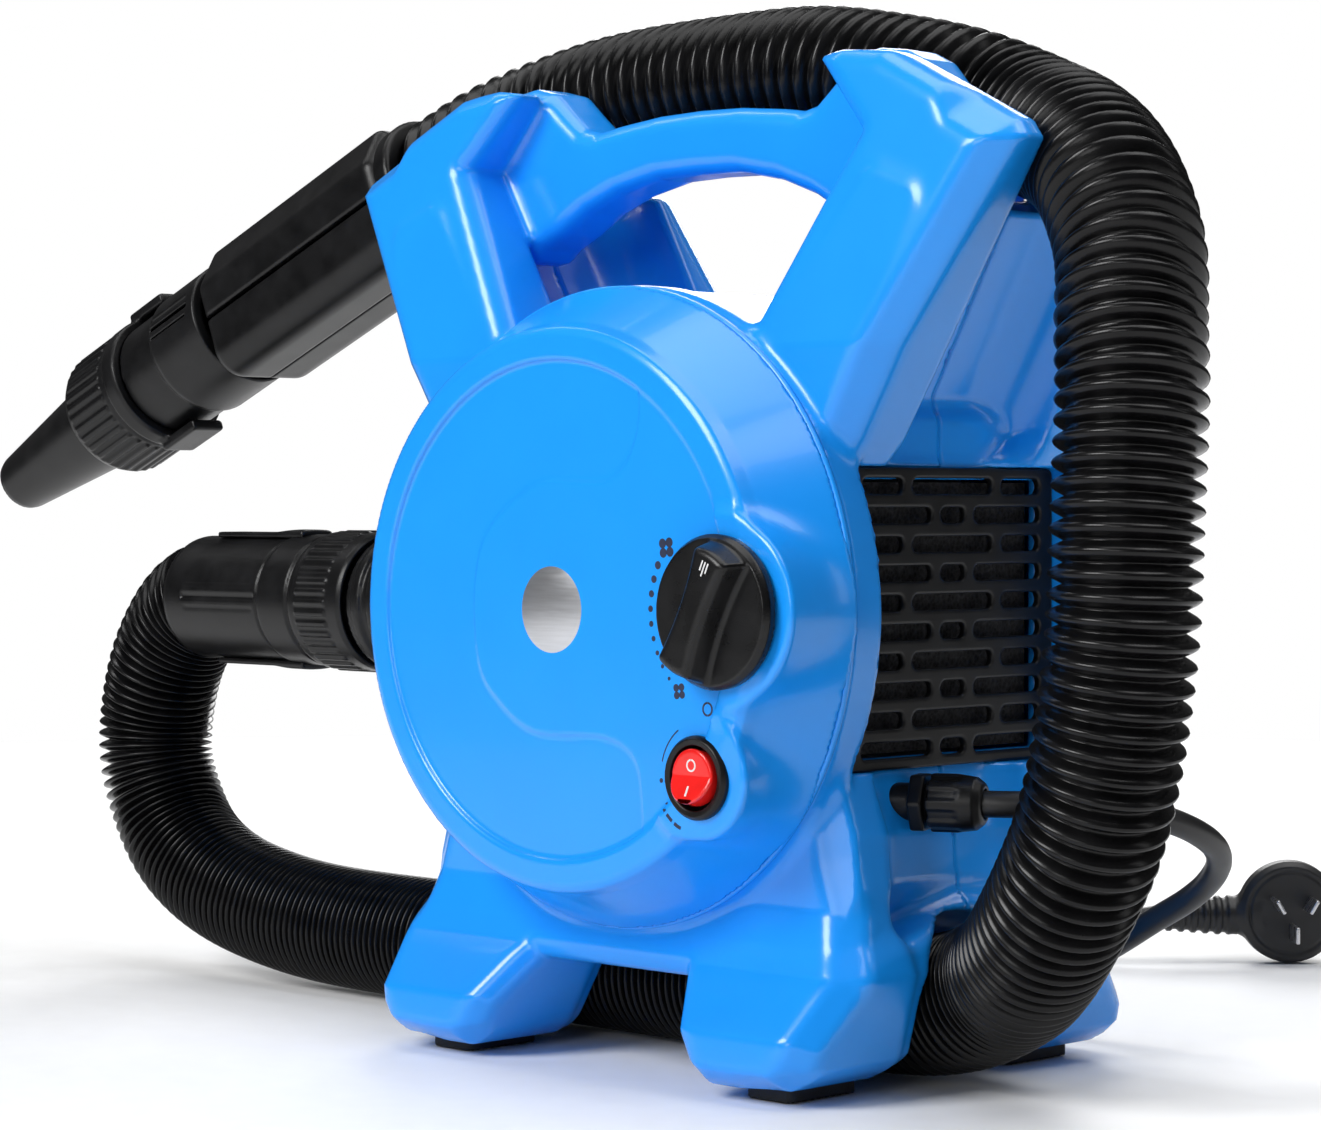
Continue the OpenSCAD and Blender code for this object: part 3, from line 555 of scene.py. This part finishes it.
def cover_field(x, y, z):
    r = np.hypot(x, z - DRUM_Z)
    outside = poly_sdf(r, y, [(-30, FACE_Y), (93.2, FACE_Y), (95.6, -95.6), (97.4, -91),
                              (110.5, -66.9), (-30, -66.9)])
    knob = smax(np.hypot(x - KNOB[0], z - KNOB[1]) - 30.5, np.abs(y + 80) - 17, 2)
    rocker = smax(np.hypot(x - SWITCH[0], z - SWITCH[1]) - 20.5, np.abs(y + 80) - 17, 2)
    knob = smax(knob, y + 66.3, 0.5)
    rocker = smax(rocker, y + 66.3, 0.5)
    body = smin(smin(outside + 0.8 / 4, knob, 7), rocker, 7)
    right = poly_sdf(x, z - DRUM_Z, STEP_REGION)
    level = -95.4 - 0.8 * step_up(-right, -0.6, 0.6)
    recess = smax(r - 84.5, y - level, 0.8)
    body = smax(body, -recess, 0.8)
    inside = poly_sdf(r, y, [(-30, -93), (87, -93), (93, -87), (106.5, -60), (-30, -60)])
    inside = smin(inside, np.maximum(np.hypot(x - KNOB[0], z - KNOB[1]) - 26.5, -92 - y), 1)
    inside = smin(inside, np.maximum(np.hypot(x - SWITCH[0], z - SWITCH[1]) - 17, -92 - y), 1)
    body = smax(body, -inside, 0.8)
    shaft_hole = np.hypot(x - KNOB[0], z - KNOB[1]) - 5.2
    switch_hole = np.hypot(x - SWITCH[0], z - SWITCH[1]) - 11.8
    body = smax(smax(body, -shaft_hole, 0.5), -switch_hole, 0.5)
    return smax(body, y + 66.9, 0.4)


def make_cover():
    cover = field_piece("front_cover_moulding", cover_field, (-112, -98, 48), (113, -65, 272), 1.0,
                        "blue_shell")
    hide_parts("front_cover")
    angle = np.linspace(0, 2 * math.pi, 160, endpoint=False)
    section = [(108.8, -67.7), (110.3, -67.4), (110.6, -66.7), (110.6, -66.1), (110.3, -65.4),
               (108.8, -65.1)]
    n = len(section)
    verts = [(r * math.cos(a), y, DRUM_Z + r * math.sin(a)) for a in angle for r, y in section]
    faces = [[n * i + k, n * i + (k + 1) % n, n * ((i + 1) % 160) + (k + 1) % n,
              n * ((i + 1) % 160) + k] for i in range(160) for k in range(n)]
    new_piece("cover_bead", verts, faces, "blue_shell")


# ---- Printed marks on the cover ----

def flat_prism(outline, y0, y1):
    """A flat mark as a thin prism: its outline in x and z, between two depths."""
    n = len(outline)
    verts = [(a, d, b) for (a, b), d in zip(outline, y0)]
    verts += [(a, d, b) for (a, b), d in zip(outline, y1)]
    faces = [list(range(n)), list(range(2 * n - 1, n - 1, -1))]
    faces += [[i, n + i, n + (i + 1) % n, (i + 1) % n][::-1] for i in range(n)]
    return verts, faces


def circle_outline(cx, cz, r, n=20):
    return [(cx + r * math.cos(2 * math.pi * i / n), cz + r * math.sin(2 * math.pi * i / n))
            for i in range(n)]


def arc_outline(cx, cz, r0, r1, a0, a1, n=14):
    sweep = np.radians(np.linspace(a0, a1, n))
    outer = [(cx - r1 * math.sin(a), cz - r1 * math.cos(a)) for a in sweep]
    inner = [(cx - r0 * math.sin(a), cz - r0 * math.cos(a)) for a in sweep[::-1]]
    return outer + inner


def fan_outlines(cx, cz, size, turn):
    """A fan pictogram: four round blades about a middle."""
    blades = []
    for k in range(4):
        a = turn + math.pi / 2 * k
        blades.append(circle_outline(cx + 0.56 * size * math.cos(a), cz + 0.56 * size * math.sin(a),
                                     0.42 * size, 16))
    return blades


def lay_on(points, field, near=-118, far=-90):
    """Depth at which a line along +Y first meets the field, for each point in x and z."""
    x, z = np.array(points, float).T
    depth = np.linspace(near, far, 561)
    grid = field(x[:, None], depth[None, :], z[:, None])
    return depth[np.argmax(grid < 0, axis=1)]


def make_marks(name, outlines, y_top, slot, body="housing", thick=0.16, field=None):
    """Raised print, at one depth or laid onto a field's surface."""
    verts, faces = [], []
    for outline in outlines:
        area = sum(a[0] * b[1] - b[0] * a[1] for a, b in zip(outline, outline[1:] + outline[:1]))
        shape = outline if area > 0 else outline[::-1]
        top = lay_on(shape, field) - 0.09 if field else np.full(len(shape), y_top)
        v, f = flat_prism(shape, top, top + thick)
        faces += [[i + len(verts) for i in face] for face in f]
        verts += v
    mesh_faces = faces
    mesh = bpy.data.meshes.new(name)
    mesh.from_pydata([(x * MM, y * MM, z * MM) for x, y, z in verts], [], mesh_faces)
    mesh.update()
    piece = bpy.data.objects.new(name, mesh)
    bpy.context.scene.collection.objects.link(piece)
    mesh.materials.append(MATERIALS[slot])
    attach(piece, body)
    return piece


def make_dial_marks():
    around = lambda centre, r, a: (centre[0] - r * math.sin(math.radians(a)),
                                   centre[1] - r * math.cos(math.radians(a)))
    outlines = []
    for i in range(9):
        x, z = around(KNOB, 33.4, 48 + 68 * i / 8)
        outlines.append(circle_outline(x, z, 0.65 + 0.09 * i))
    for angle, size in ((37.5, 3.1), (128, 3.9)):
        x, z = around(KNOB, 33.2, angle)
        outlines += fan_outlines(x, z, size, math.pi / 4 + 0.12)
    x, z = around(KNOB, 32.5, 13)
    outlines += [arc_outline(x, z, 1.7, 2.4, -178, -2), arc_outline(x, z, 1.7, 2.4, 2, 178)]
    outlines += [arc_outline(SWITCH[0], SWITCH[1], 17.4, 18.6, 22 + 14 * k, 32 + 14 * k)
                 for k in range(3)]
    outlines.append(circle_outline(*around(SWITCH, 18, 84), 0.8))
    outlines += [arc_outline(SWITCH[0], SWITCH[1], 17.8, 18.3, 104, 146)]
    make_marks("dial_marks", outlines, None, "print_ink", field=cover_field)


# ---- Knob, rocker and badge ----

def knob_field(x, y, z):
    dx, dz = x - KNOB[0], z - KNOB[1]
    r = np.hypot(dx, dz)
    turn = math.radians(25)
    across = dx * math.cos(turn) - dz * math.sin(turn)
    along = dx * math.sin(turn) + dz * math.cos(turn)
    skirt = poly_sdf(r, y, [(-20, -103.6), (23.9, -103.6), (25.5, -101.4), (25.2, -98), (-20, -98)])
    skirt = skirt + 1.2 / 4
    width = 5.4 + 2.4 * (along / 23) ** 2 + 0.2 * (y + 112.5)
    bar = smax(smax(np.abs(across) - width, r - 23.2 - 0.25 * (y + 103), 1.5), np.abs(y + 106) - 6.5, 2.5)
    body = smin(skirt, bar, 1.6)
    bore = np.maximum(r - 3.05, -110.7 - y)
    return smax(body, -bore, 0.3)


def rocker_field(x, y, z):
    dx, dy, dz = x - SWITCH[0], y + 98, z - SWITCH[1]
    tilt = math.radians(12)
    ty = dy * math.cos(tilt) - dz * math.sin(tilt)
    tz = dy * math.sin(tilt) + dz * math.cos(tilt)
    front = -(ty + 2.6 + 0.22 * np.abs(tz))
    round_edge = np.hypot(dx, tz) - 9.1
    body = smax(round_edge, front, 1.2)
    return smax(body, ty - 2.2, 0.5)


def bezel_field(x, y, z):
    r = np.hypot(x - SWITCH[0], z - SWITCH[1])
    ring = poly_sdf(r, y, [(10.7, -99.6), (12.6, -100), (13.7, -98.6), (13.8, -97.05),
                           (11.7, -97.05), (11.7, -88), (10.7, -88)])
    return ring - 0.05


def badge_field(x, y, z):
    r = np.hypot(x, z - DRUM_Z)
    dome = np.sqrt(r * r + (y + 98 - 60) ** 2) - 60
    return smax(smax(dome, r - 16.3, 1.0), y + 95.5, 0.3)


def make_controls():
    knob = field_piece("speed_knob_moulding", knob_field, (55, -117, 135), (107, -97, 187), 0.6,
                       "knob_plastic", "knob")
    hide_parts("speed_knob")
    turn = math.radians(25)
    out = (math.sin(turn), math.cos(turn))
    cross = (math.cos(turn), -math.sin(turn))
    lines = []
    for k, length in ((-1.3, 3.5), (0, 5), (1.3, 3.5)):
        start = 18.0
        base = (KNOB[0] + cross[0] * k + out[0] * start, KNOB[1] + cross[1] * k + out[1] * start)
        tip = (base[0] - out[0] * length, base[1] - out[1] * length)
        half = 0.28
        lines.append([(base[0] - cross[0] * half, base[1] - cross[1] * half),
                      (base[0] + cross[0] * half, base[1] + cross[1] * half),
                      (tip[0] + cross[0] * half, tip[1] + cross[1] * half),
                      (tip[0] - cross[0] * half, tip[1] - cross[1] * half)])
    make_marks("knob_pointer", lines, None, "print_white", "knob", field=knob_field)
    rocker = field_piece("heat_rocker_moulding", rocker_field, (61, -103, 97), (80, -94, 117), 0.4,
                         "red_rocker", "rocker")
    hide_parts("heat_rocker")
    ring = arc_outline(SWITCH[0], SWITCH[1] + 4.2, 1.5, 2.1, -176, 176, 24)
    bar = [(SWITCH[0] - 0.4, SWITCH[1] - 5.6), (SWITCH[0] + 0.4, SWITCH[1] - 5.6),
           (SWITCH[0] + 0.4, SWITCH[1] - 2.4), (SWITCH[0] - 0.4, SWITCH[1] - 2.4)]
    make_marks("rocker_marks", [ring, bar], None, "print_white", "rocker", field=rocker_field)
    bezel = field_piece("switch_bezel_moulding", bezel_field, (56, -101, 92), (85, -87, 122), 0.5,
                        "black_plastic")
    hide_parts("switch_bezel")
    badge = field_piece("badge_disc", badge_field, (-17, -99, 143), (17, -95, 177), 0.5, "badge")
    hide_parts("badge")


# ---- Intake grille ----

def slot_field(y, z, cy, cz, w):
    half = w / 2 - 2.7
    return np.hypot(np.maximum(np.abs(y - cy) - half, 0), z - cz) - 2.7


def grille_field(x, y, z):
    panel = extrude(np.abs(y - 4.5) - 53.5, z - 157.5, 50.5, 3)
    cuts = None
    for k in range(10):
        cz = 113.5 + 9.8 * k
        row = [(4.5, 13), (-24.4, 36), (33.4, 36)] if k % 2 == 0 else [(4.5, 42), (-31.4, 21), (40.4, 21)]
        for cy, w in row:
            slot = slot_field(y, z, cy, cz, w)
            cuts = slot if cuts is None else np.minimum(cuts, slot)
    plate = smax(panel, -cuts, 0.6)
    return extrude(plate, x - 90.8, 1.45, 0.6)


# ---- Outlet, collar and cuff, along X ----

def lathe_x(x, y, z, profile):
    return poly_sdf(np.hypot(y - AIR[0], z - AIR[1]), x, profile)


def outlet_field(x, y, z):
    tube = lathe_x(x, y, z, [(20, -214), (22.5, -214), (22.5, -92), (20, -92)])
    rings = lathe_x(x, y, z, [(21, -186.5), (26.6, -186.5), (26.6, -183), (28.2, -182), (28.2, -178),
                              (26.8, -177), (26.8, -174), (28.2, -173), (28.2, -166), (21, -166)])
    return smin(tube, rings, 0.8)


def flange_field(x, y, z):
    ring = lathe_x(x, y, z, [(22.6, -112), (26, -112), (27, -110), (27, -94.5), (32, -93.5),
                             (32, -89.2), (27, -89.2), (22.6, -88)])
    return ring


def knurl(y, z, count, depth, cy=AIR[0], cz=AIR[1], sharp=0.5):
    angle = np.arctan2(z - cz, y - cy)
    wave = np.cos(count * angle)
    return depth * np.clip(wave / sharp, -1, 1)


def collar_field(x, y, z):
    ring = lathe_x(x, y, z, [(25.8, -222), (27.2, -222), (27.6, -220.5), (27.6, -192), (26.8, -190),
                             (25.8, -190)])
    band = step_up(x, -218, -216.5) * (1 - step_up(x, -199.5, -198))
    return ring - band * (0.25 + knurl(y, z, 40, 0.35))


def cuff_field(x, y, z):
    tube = lathe_x(x, y, z, [(22.2, -306), (25.0, -306), (25.4, -304), (25.4, -245.2), (24.6, -244.6),
                             (24.6, -243.6), (26.2, -243), (26.4, -242), (26.4, -225.5),
                             (25.4, -224.5), (25.4, -200), (22.6, -200), (22.6, -230)])
    groove = np.maximum(np.abs(z - AIR[1] - 1) - 1.1, np.abs(x + 270) - 24)
    groove = np.maximum(groove, np.abs(np.hypot(y - AIR[0], z - AIR[1]) - 26) - 1.5)
    flat = np.maximum(np.abs(np.abs(z - AIR[1] - 1) - 4.6) - 0.5, np.abs(x + 270) - 22)
    flat = np.maximum(flat, np.abs(np.hypot(y - AIR[0], z - AIR[1]) - 25.6) - 0.6)
    return smax(smax(tube, -groove, 0.5), -flat, 0.4)


def latch_field(x, y, z, sign):
    h = sign * (z - AIR[1])
    top = 27.2 + 1.3 * step_up(x, -256, -244)
    hook = smax(np.abs(y - AIR[0]) - 8, smax(h - top, 24.8 - h, 0.5), 0.8)
    hook = smax(hook, np.abs(x + 263.5) - 27.5, 0.8)
    bow = np.hypot(y - AIR[0], z - AIR[1]) - 29
    return smax(hook, bow, 1.5)


def make_outlet():
    grille = field_piece("intake_grille_panel", grille_field, (88, -50, 106), (93, 59, 209), 0.8,
                         "black_plastic", "grille")
    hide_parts("side_grille")
    tube = field_piece("outlet_tube_moulding", outlet_field, (-215, -33, 128), (-91, 25, 186), 1.0,
                       "black_plastic")
    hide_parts("outlet_tube")
    flange = field_piece("outlet_flange_ring", flange_field, (-113, -37, 124), (-87, 29, 190), 1.0,
                         "black_plastic")
    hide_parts("outlet_flange")
    collar = field_piece("outlet_collar_ring", collar_field, (-223, -33, 128), (-189, 25, 186), 0.7,
                         "black_plastic", "collar")
    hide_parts("outlet_collar")
    cuff = field_piece("hose_cuff_moulding", cuff_field, (-307, -32, 129), (-199, 24, 185), 0.9,
                       "black_plastic")
    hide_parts("hose_cuff")
    both = lambda x, y, z: np.minimum(latch_field(x, y, z, 1), latch_field(x, y, z, -1))
    latches = field_piece("cuff_latch_pair", both, (-292, -13, 127), (-235, 5, 187), 0.8,
                          "black_plastic")
    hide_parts("cuff_latches")


# ---- Handpiece, in its own frame: local Z runs to the nozzle's mouth, local X points up ----

def on_hand(points):
    a = -math.pi / 2 - HAND_DIP
    x, y, z = points.T
    return HAND_AT + np.stack([x * math.cos(a) + z * math.sin(a), y,
                               -x * math.sin(a) + z * math.cos(a)], 1)


def grip_field(x, y, z, side):
    r = 12
    q1, q2 = np.abs(x) - GRIP_W / 2 + r, np.abs(y) - GRIP_D / 2 + r
    section = np.hypot(np.maximum(q1, 0), np.maximum(q2, 0)) + np.minimum(np.maximum(q1, q2), 0) - r
    facet = (x * 0.62 - y * 0.785) - 27.2
    section = smax(section, facet, 1.5)
    shape = chamfer_cut(section, np.abs(z - 70.5) - 62.4, 5, 2)
    angle = math.radians(8)
    seam_at = x * math.cos(angle) + y * math.sin(angle) + 5.3
    seam = np.maximum(np.abs(seam_at) - 0.9, np.maximum(y + GRIP_D / 2 - 4, 6 - z))
    shape = smax(shape, -seam, 0.7)
    shape = smax(shape, -(np.hypot(x, y) - 22), 0.5)
    return smax(shape, (y if side < 0 else -y) + 0.06, 0.25)


def hand_cuff_field(x, y, z):
    r = np.hypot(x, y)
    return poly_sdf(r, z, [(20, 0), (26, 0), (27, 1.5), (27, 8), (20, 8)])


def barrel_field(x, y, z):
    r = np.hypot(x, y)
    tube = poly_sdf(r, z, [(22, 133), (27.2, 133), (27.2, 164), (26.4, 166.4), (25.1, 167.5),
                           (25, 190.6), (22.7, 190.6), (22.7, 205), (20.3, 205), (20.3, 191),
                           (22, 190)])
    slot = np.maximum(np.maximum(np.abs(x - 9) - 0.9, y + 20), np.abs(z - 152) - 14)
    flat = np.maximum(np.maximum(np.abs(np.abs(x - 9) - 4.2) - 0.4, y + 22.4), np.abs(z - 152) - 13)
    return smax(smax(tube, -slot, 0.5), -flat, 0.4)


def nut_field(x, y, z):
    r = np.hypot(x, y)
    shell = poly_sdf(r, z, [(24.5, 191.4), (28, 191.4), (28.6, 193), (28.6, 199), (27.2, 200.6),
                            (27.6, 202), (27.6, 229), (26, 232), (20.7, 232), (20.7, 214), (24.5, 214)])
    band = step_up(z, 203, 204.5) * (1 - step_up(z, 227.5, 229))
    shell = shell - band * (0.25 + knurl(x, y, 36, 0.45, 0, 0))
    tab = smax(smax(np.abs(y) - 8, np.abs(z - 185) - 12, 1.5),
               smax(np.abs(x) - 31.8, 27.1 - np.abs(x), 0.8), 1.5)
    return smin(shell, tab, 2)


def nozzle_field(x, y, z):
    r = np.hypot(x, y)
    shape = poly_sdf(r, z, [(17.5, 193), (20.1, 193), (20.1, 206), (24, 206.5), (24, 211.5),
                            (20.2, 212), (20.2, 236), (13.2, 305), (12.3, 308), (10.4, 308),
                            (9.5, 306.5), (9.5, 295), (17.5, 238)])
    return shape


def make_handpiece():
    lo, hi = (-30, -27, -1), (30, 27, 135)
    for name, side, node in (("grip_half_left", 1, "grip_shell_left"),
                             ("grip_half_right", -1, "grip_shell_right")):
        half = field_piece(name, lambda x, y, z, s=side: grip_field(x, y, z, s), lo, hi, 1.0,
                           "black_plastic", place=on_hand)
        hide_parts(node)
    cuff = field_piece("hand_cuff_ring", hand_cuff_field, (-28, -28, -1), (28, 28, 9), 0.9,
                       "black_plastic", place=on_hand)
    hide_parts("hand_cuff")
    barrel = field_piece("hand_barrel_moulding", barrel_field, (-28, -28, 132), (28, 28, 206), 0.8,
                         "black_plastic", place=on_hand)
    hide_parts("hand_barrel")
    nut = field_piece("nozzle_nut_ring", nut_field, (-33, -30, 172), (33, 30, 233), 0.7,
                      "black_plastic", "nozzle_nut", place=on_hand)
    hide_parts("nozzle_nut")
    nozzle = field_piece("nozzle_moulding", nozzle_field, (-25, -25, 192), (25, 25, 309), 0.8,
                         "black_plastic", "nozzle", place=on_hand)
    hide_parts("nozzle")


# ---- Gland, plug and tie ----

def on_gland(points):
    """Local Z leaves the shell along +X, turned 25 degrees towards +Y."""
    turn = math.radians(25)
    x, y, z = points.T
    px, pz = z, -x
    return GLAND_AT + np.stack([px * math.cos(turn) - y * math.sin(turn),
                                px * math.sin(turn) + y * math.cos(turn), pz], 1)


def hex_field(x, y, r):
    d = None
    for k in range(3):
        a = math.radians(60 * k)
        side = np.abs(x * math.cos(a) + y * math.sin(a)) - r
        d = side if d is None else smax(d, side, 0.8)
    return d


def gland_field(x, y, z):
    r = np.hypot(x, y)
    thread = smax(r - 6.4, np.abs(z + 4) - 10, 0.5)
    collar = smax(hex_field(x, y, 9.3), np.abs(z - 2.5) - 2.5, 0.8)
    return smax(smin(thread, collar, 0.6), -(r - 4.7), 0.2)


def gland_nut_field(x, y, z):
    r = np.hypot(x, y)
    dome = poly_sdf(r, z, [(4.7, 6.1), (9.4, 6.1), (9.8, 7), (9.8, 18), (9.2, 22), (7.4, 24.4),
                           (6.4, 25), (4.7, 25)])
    flutes = (1 - step_up(z, 15, 18)) * np.clip(np.cos(8 * np.arctan2(y, x)) * 2, -1, 1) * 0.35
    return dome - flutes + 0.35


def on_plug(points):
    turn = math.radians(45)
    x, y, z = points.T
    return PLUG_AT + np.stack([x * math.cos(turn) - y * math.sin(turn),
                               x * math.sin(turn) + y * math.cos(turn), z], 1)


def plug_field(x, y, z):
    r = np.hypot(x, z)
    disc = poly_sdf(r, y, [(-20, -9), (19.5, -9), (21.8, -7), (22, 0), (20.5, 6), (16, 9), (-20, 9)])
    disc = disc + 1.0 / 4
    ring = np.abs(r - 17.5) - 0.5
    ring = np.maximum(ring, np.abs(y + 9) - 0.6)
    neck = smax(np.hypot(y, z + 2) - (8.2 + 0.05 * (x + 20)), np.abs(x + 19) - 6, 1)
    return smax(smin(disc, neck, 3), -ring, 0.4)


def relief_field(x, y, z):
    """Ribbed strain relief that narrows towards the cord."""
    r = np.hypot(y, z + 2)
    share = (x + 53.5) / 36
    ribs = 0.75 * np.clip(1.6 * np.cos((x + 51) * 2 * math.pi / 5.2), -1, 1) * (1 - step_up(x, -27, -23))
    cone = smax(r - (6.2 + 2.4 * share + ribs * 0.7), np.abs(x + 37.5) - 16, 0.6)
    return cone


def pin_field(x, y, z):
    d = None
    for cx, cz, a, half in ((7, 4, -30, 3.2), (-7, 4, 30, 3.2), (0, -8, 0, 3.5)):
        t = math.radians(a)
        px = (x - cx) * math.cos(t) + (z - cz) * math.sin(t)
        pz = -(x - cx) * math.sin(t) + (z - cz) * math.cos(t)
        blade = smax(smax(np.abs(px) - 0.8, np.abs(pz) - half, 0.5), np.abs(y + 17.5) - 8.4, 0.6)
        d = blade if d is None else np.minimum(d, blade)
    return d


def tie_field(x, y, z):
    """Strap round the coil, at its west side."""
    dx, dy = x - COIL_AT[0], y - COIL_AT[1]
    r = -dx
    q = poly_sdf(r, z, [(39.6, 0.15), (60.4, 0.15), (60.4, 28.5), (39.6, 28.5)])
    shell = np.abs(q + 0.45) - 0.45
    weave = 0.12 * np.cos(dy * 2 * math.pi / 1.5)
    return smax(shell - weave * 0.4, np.abs(dy) - 5.8, 0.5)


def make_cord_ends():
    gland = field_piece("cord_gland_body", gland_field, (-11, -11, -15), (11, 11, 7), 0.6,
                        "black_plastic", place=on_gland)
    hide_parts("cord_gland")
    nut = field_piece("gland_nut_cap", gland_nut_field, (-11, -11, 5), (11, 11, 26), 0.5,
                      "black_plastic", place=on_gland)
    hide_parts("gland_nut")
    plug = field_piece("plug_moulding", plug_field, (-26, -10, -23), (23, 10, 23), 0.7,
                       "cord_rubber", place=on_plug)
    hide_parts("plug_body")
    relief = field_piece("plug_strain_relief", relief_field, (-55, -11, -13), (-20, 11, 9), 0.6,
                         "cord_rubber", place=on_plug)
    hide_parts("plug_relief")
    pins = field_piece("plug_pin_set", pin_field, (-11, -27, -13), (11, -8, 9), 0.4, "steel",
                       place=on_plug)
    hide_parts("plug_pins")
    tie = field_piece("coil_tie", tie_field, (-112, 146, 0.1), (-89, 160, 30), 0.6, "tie")
    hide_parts("cord_tie")
    return [tie, relief, plug, pins]


def pad_field(x, y, z):
    flat = extrude(np.abs(x) - 10.5, y, 17, 4)
    rib = 0.25 * np.clip(2 * np.cos(y * 2 * math.pi / 3.4), -1, 1) * (z < 2)
    return smax(flat, np.abs(z - 2.9) - 2.75 + np.maximum(rib, 0) * 0.4, 0.5)


def make_pads():
    """The four rubber feet, set into the shell."""
    four = lambda x, y, z: pad_field(np.abs(x) - 78, np.abs(y) - 56, z)
    pads = field_piece("rubber_pads", four, (-90, -74, 0.1), (90, 74, 6), 1.0, "rubber")
    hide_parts("rubber_feet")


# ---- Carried-over CAD nodes, floor and lights ----

def dress_frame():
    slots = {s["node"]: s["material_slot"] for s in frame["record"]["subparts"]}
    for name, obj in frame["nodes"].items():
        mat = MATERIALS[slots.get(name, "black_plastic")]
        obj.data.materials.clear()
        obj.data.materials.append(mat)


# ---- Stage and light, in metres and watts ----

FLOOR_RADIUS, FLOOR_BELOW, FLOOR_SIDES = 1.7, 0.0002, 160
WORLD_LIGHT, WORLD_SEEN = 0.07, 1.0
WHITE = (1, 1, 1, 1)
OBJECT_MIDDLE = (0, 0, 0.18)

# Name, place, target, width, power, height.
LIGHTS = [
    ("key", (-0.3, -1.9, 1.5), OBJECT_MIDDLE, 1.0, 44, 1.0),
    ("key_right", (0.9, -2.0, 0.7), OBJECT_MIDDLE, 0.8, 7, 0.8),
    ("top", (0.1, 0.1, 2.4), (0, 0, 0.1), 1.6, 22, 1.6),
    ("backdrop_left", (-1.5, 0.0, 2.0), (-2.6, 1.6, 0.6), 1.2, 22, 1.2),
    ("backdrop_right", (0.0, 1.5, 2.0), (-1.6, 2.6, 0.6), 1.2, 22, 1.2),
    ("floor_right", (1.0, 0.2, 1.6), (2.0, 0.6, 0.0), 1.2, 16, 1.2),
    ("back_fill", (-1.3, 1.8, 1.2), OBJECT_MIDDLE, 1.0, 20, 1.0),
    ("edge", (1.5, 0.9, 0.9), (0, 0, 0.2), 0.25, 1.5, 1.2),
]


def make_stage():
    """A round pale floor, flat, so that no view has a wall in front of it."""
    angles = [2 * math.pi * i / FLOOR_SIDES for i in range(FLOOR_SIDES)]
    verts = [(FLOOR_RADIUS * math.cos(a), FLOOR_RADIUS * math.sin(a), -FLOOR_BELOW) for a in angles]
    mesh = bpy.data.meshes.new("floor")
    mesh.from_pydata(verts, [], [tuple(range(FLOOR_SIDES))])
    mesh.materials.append(plastic("floor_matt", (0.90, 0.90, 0.90), 0.6, 60, 0.02, 0.01))
    floor = bpy.data.objects.new("floor", mesh)
    bpy.context.scene.collection.objects.link(floor)


def area_light(name, place, target, size, power, size_y):
    data = bpy.data.lights.new(name, "AREA")
    data.shape = "RECTANGLE"
    data.size = size
    data.size_y = size_y
    data.energy = power
    lamp = bpy.data.objects.new(name, data)
    bpy.context.scene.collection.objects.link(lamp)
    lamp.location = place
    lamp.rotation_euler = (Vector(target) - Vector(place)).to_track_quat("-Z", "Y").to_euler()


def make_world():
    """White to the camera, dim as a source of light."""
    world = bpy.data.worlds.new("studio")
    bpy.context.scene.world = world
    world.use_nodes = True
    tree = world.node_tree
    light = tree.nodes["Background"]
    seen = tree.nodes.new("ShaderNodeBackground")
    for node, strength in ((light, WORLD_LIGHT), (seen, WORLD_SEEN)):
        node.inputs["Color"].default_value = WHITE
        node.inputs["Strength"].default_value = strength
    path = tree.nodes.new("ShaderNodeLightPath")
    mix = tree.nodes.new("ShaderNodeMixShader")
    tree.links.new(path.outputs["Is Camera Ray"], mix.inputs[0])
    tree.links.new(light.outputs[0], mix.inputs[1])
    tree.links.new(seen.outputs[0], mix.inputs[2])
    tree.links.new(mix.outputs[0], tree.nodes["World Output"].inputs["Surface"])


def make_lights():
    make_world()
    for row in LIGHTS:
        area_light(*row)
    bpy.context.scene.view_settings.view_transform = "Standard"


# ---- Build ----

make_shells()
make_cover()
make_dial_marks()
make_controls()
make_outlet()
make_handpiece()
cord_pieces = make_cord_ends()
make_pads()
dress_frame()
make_stage()
make_lights()
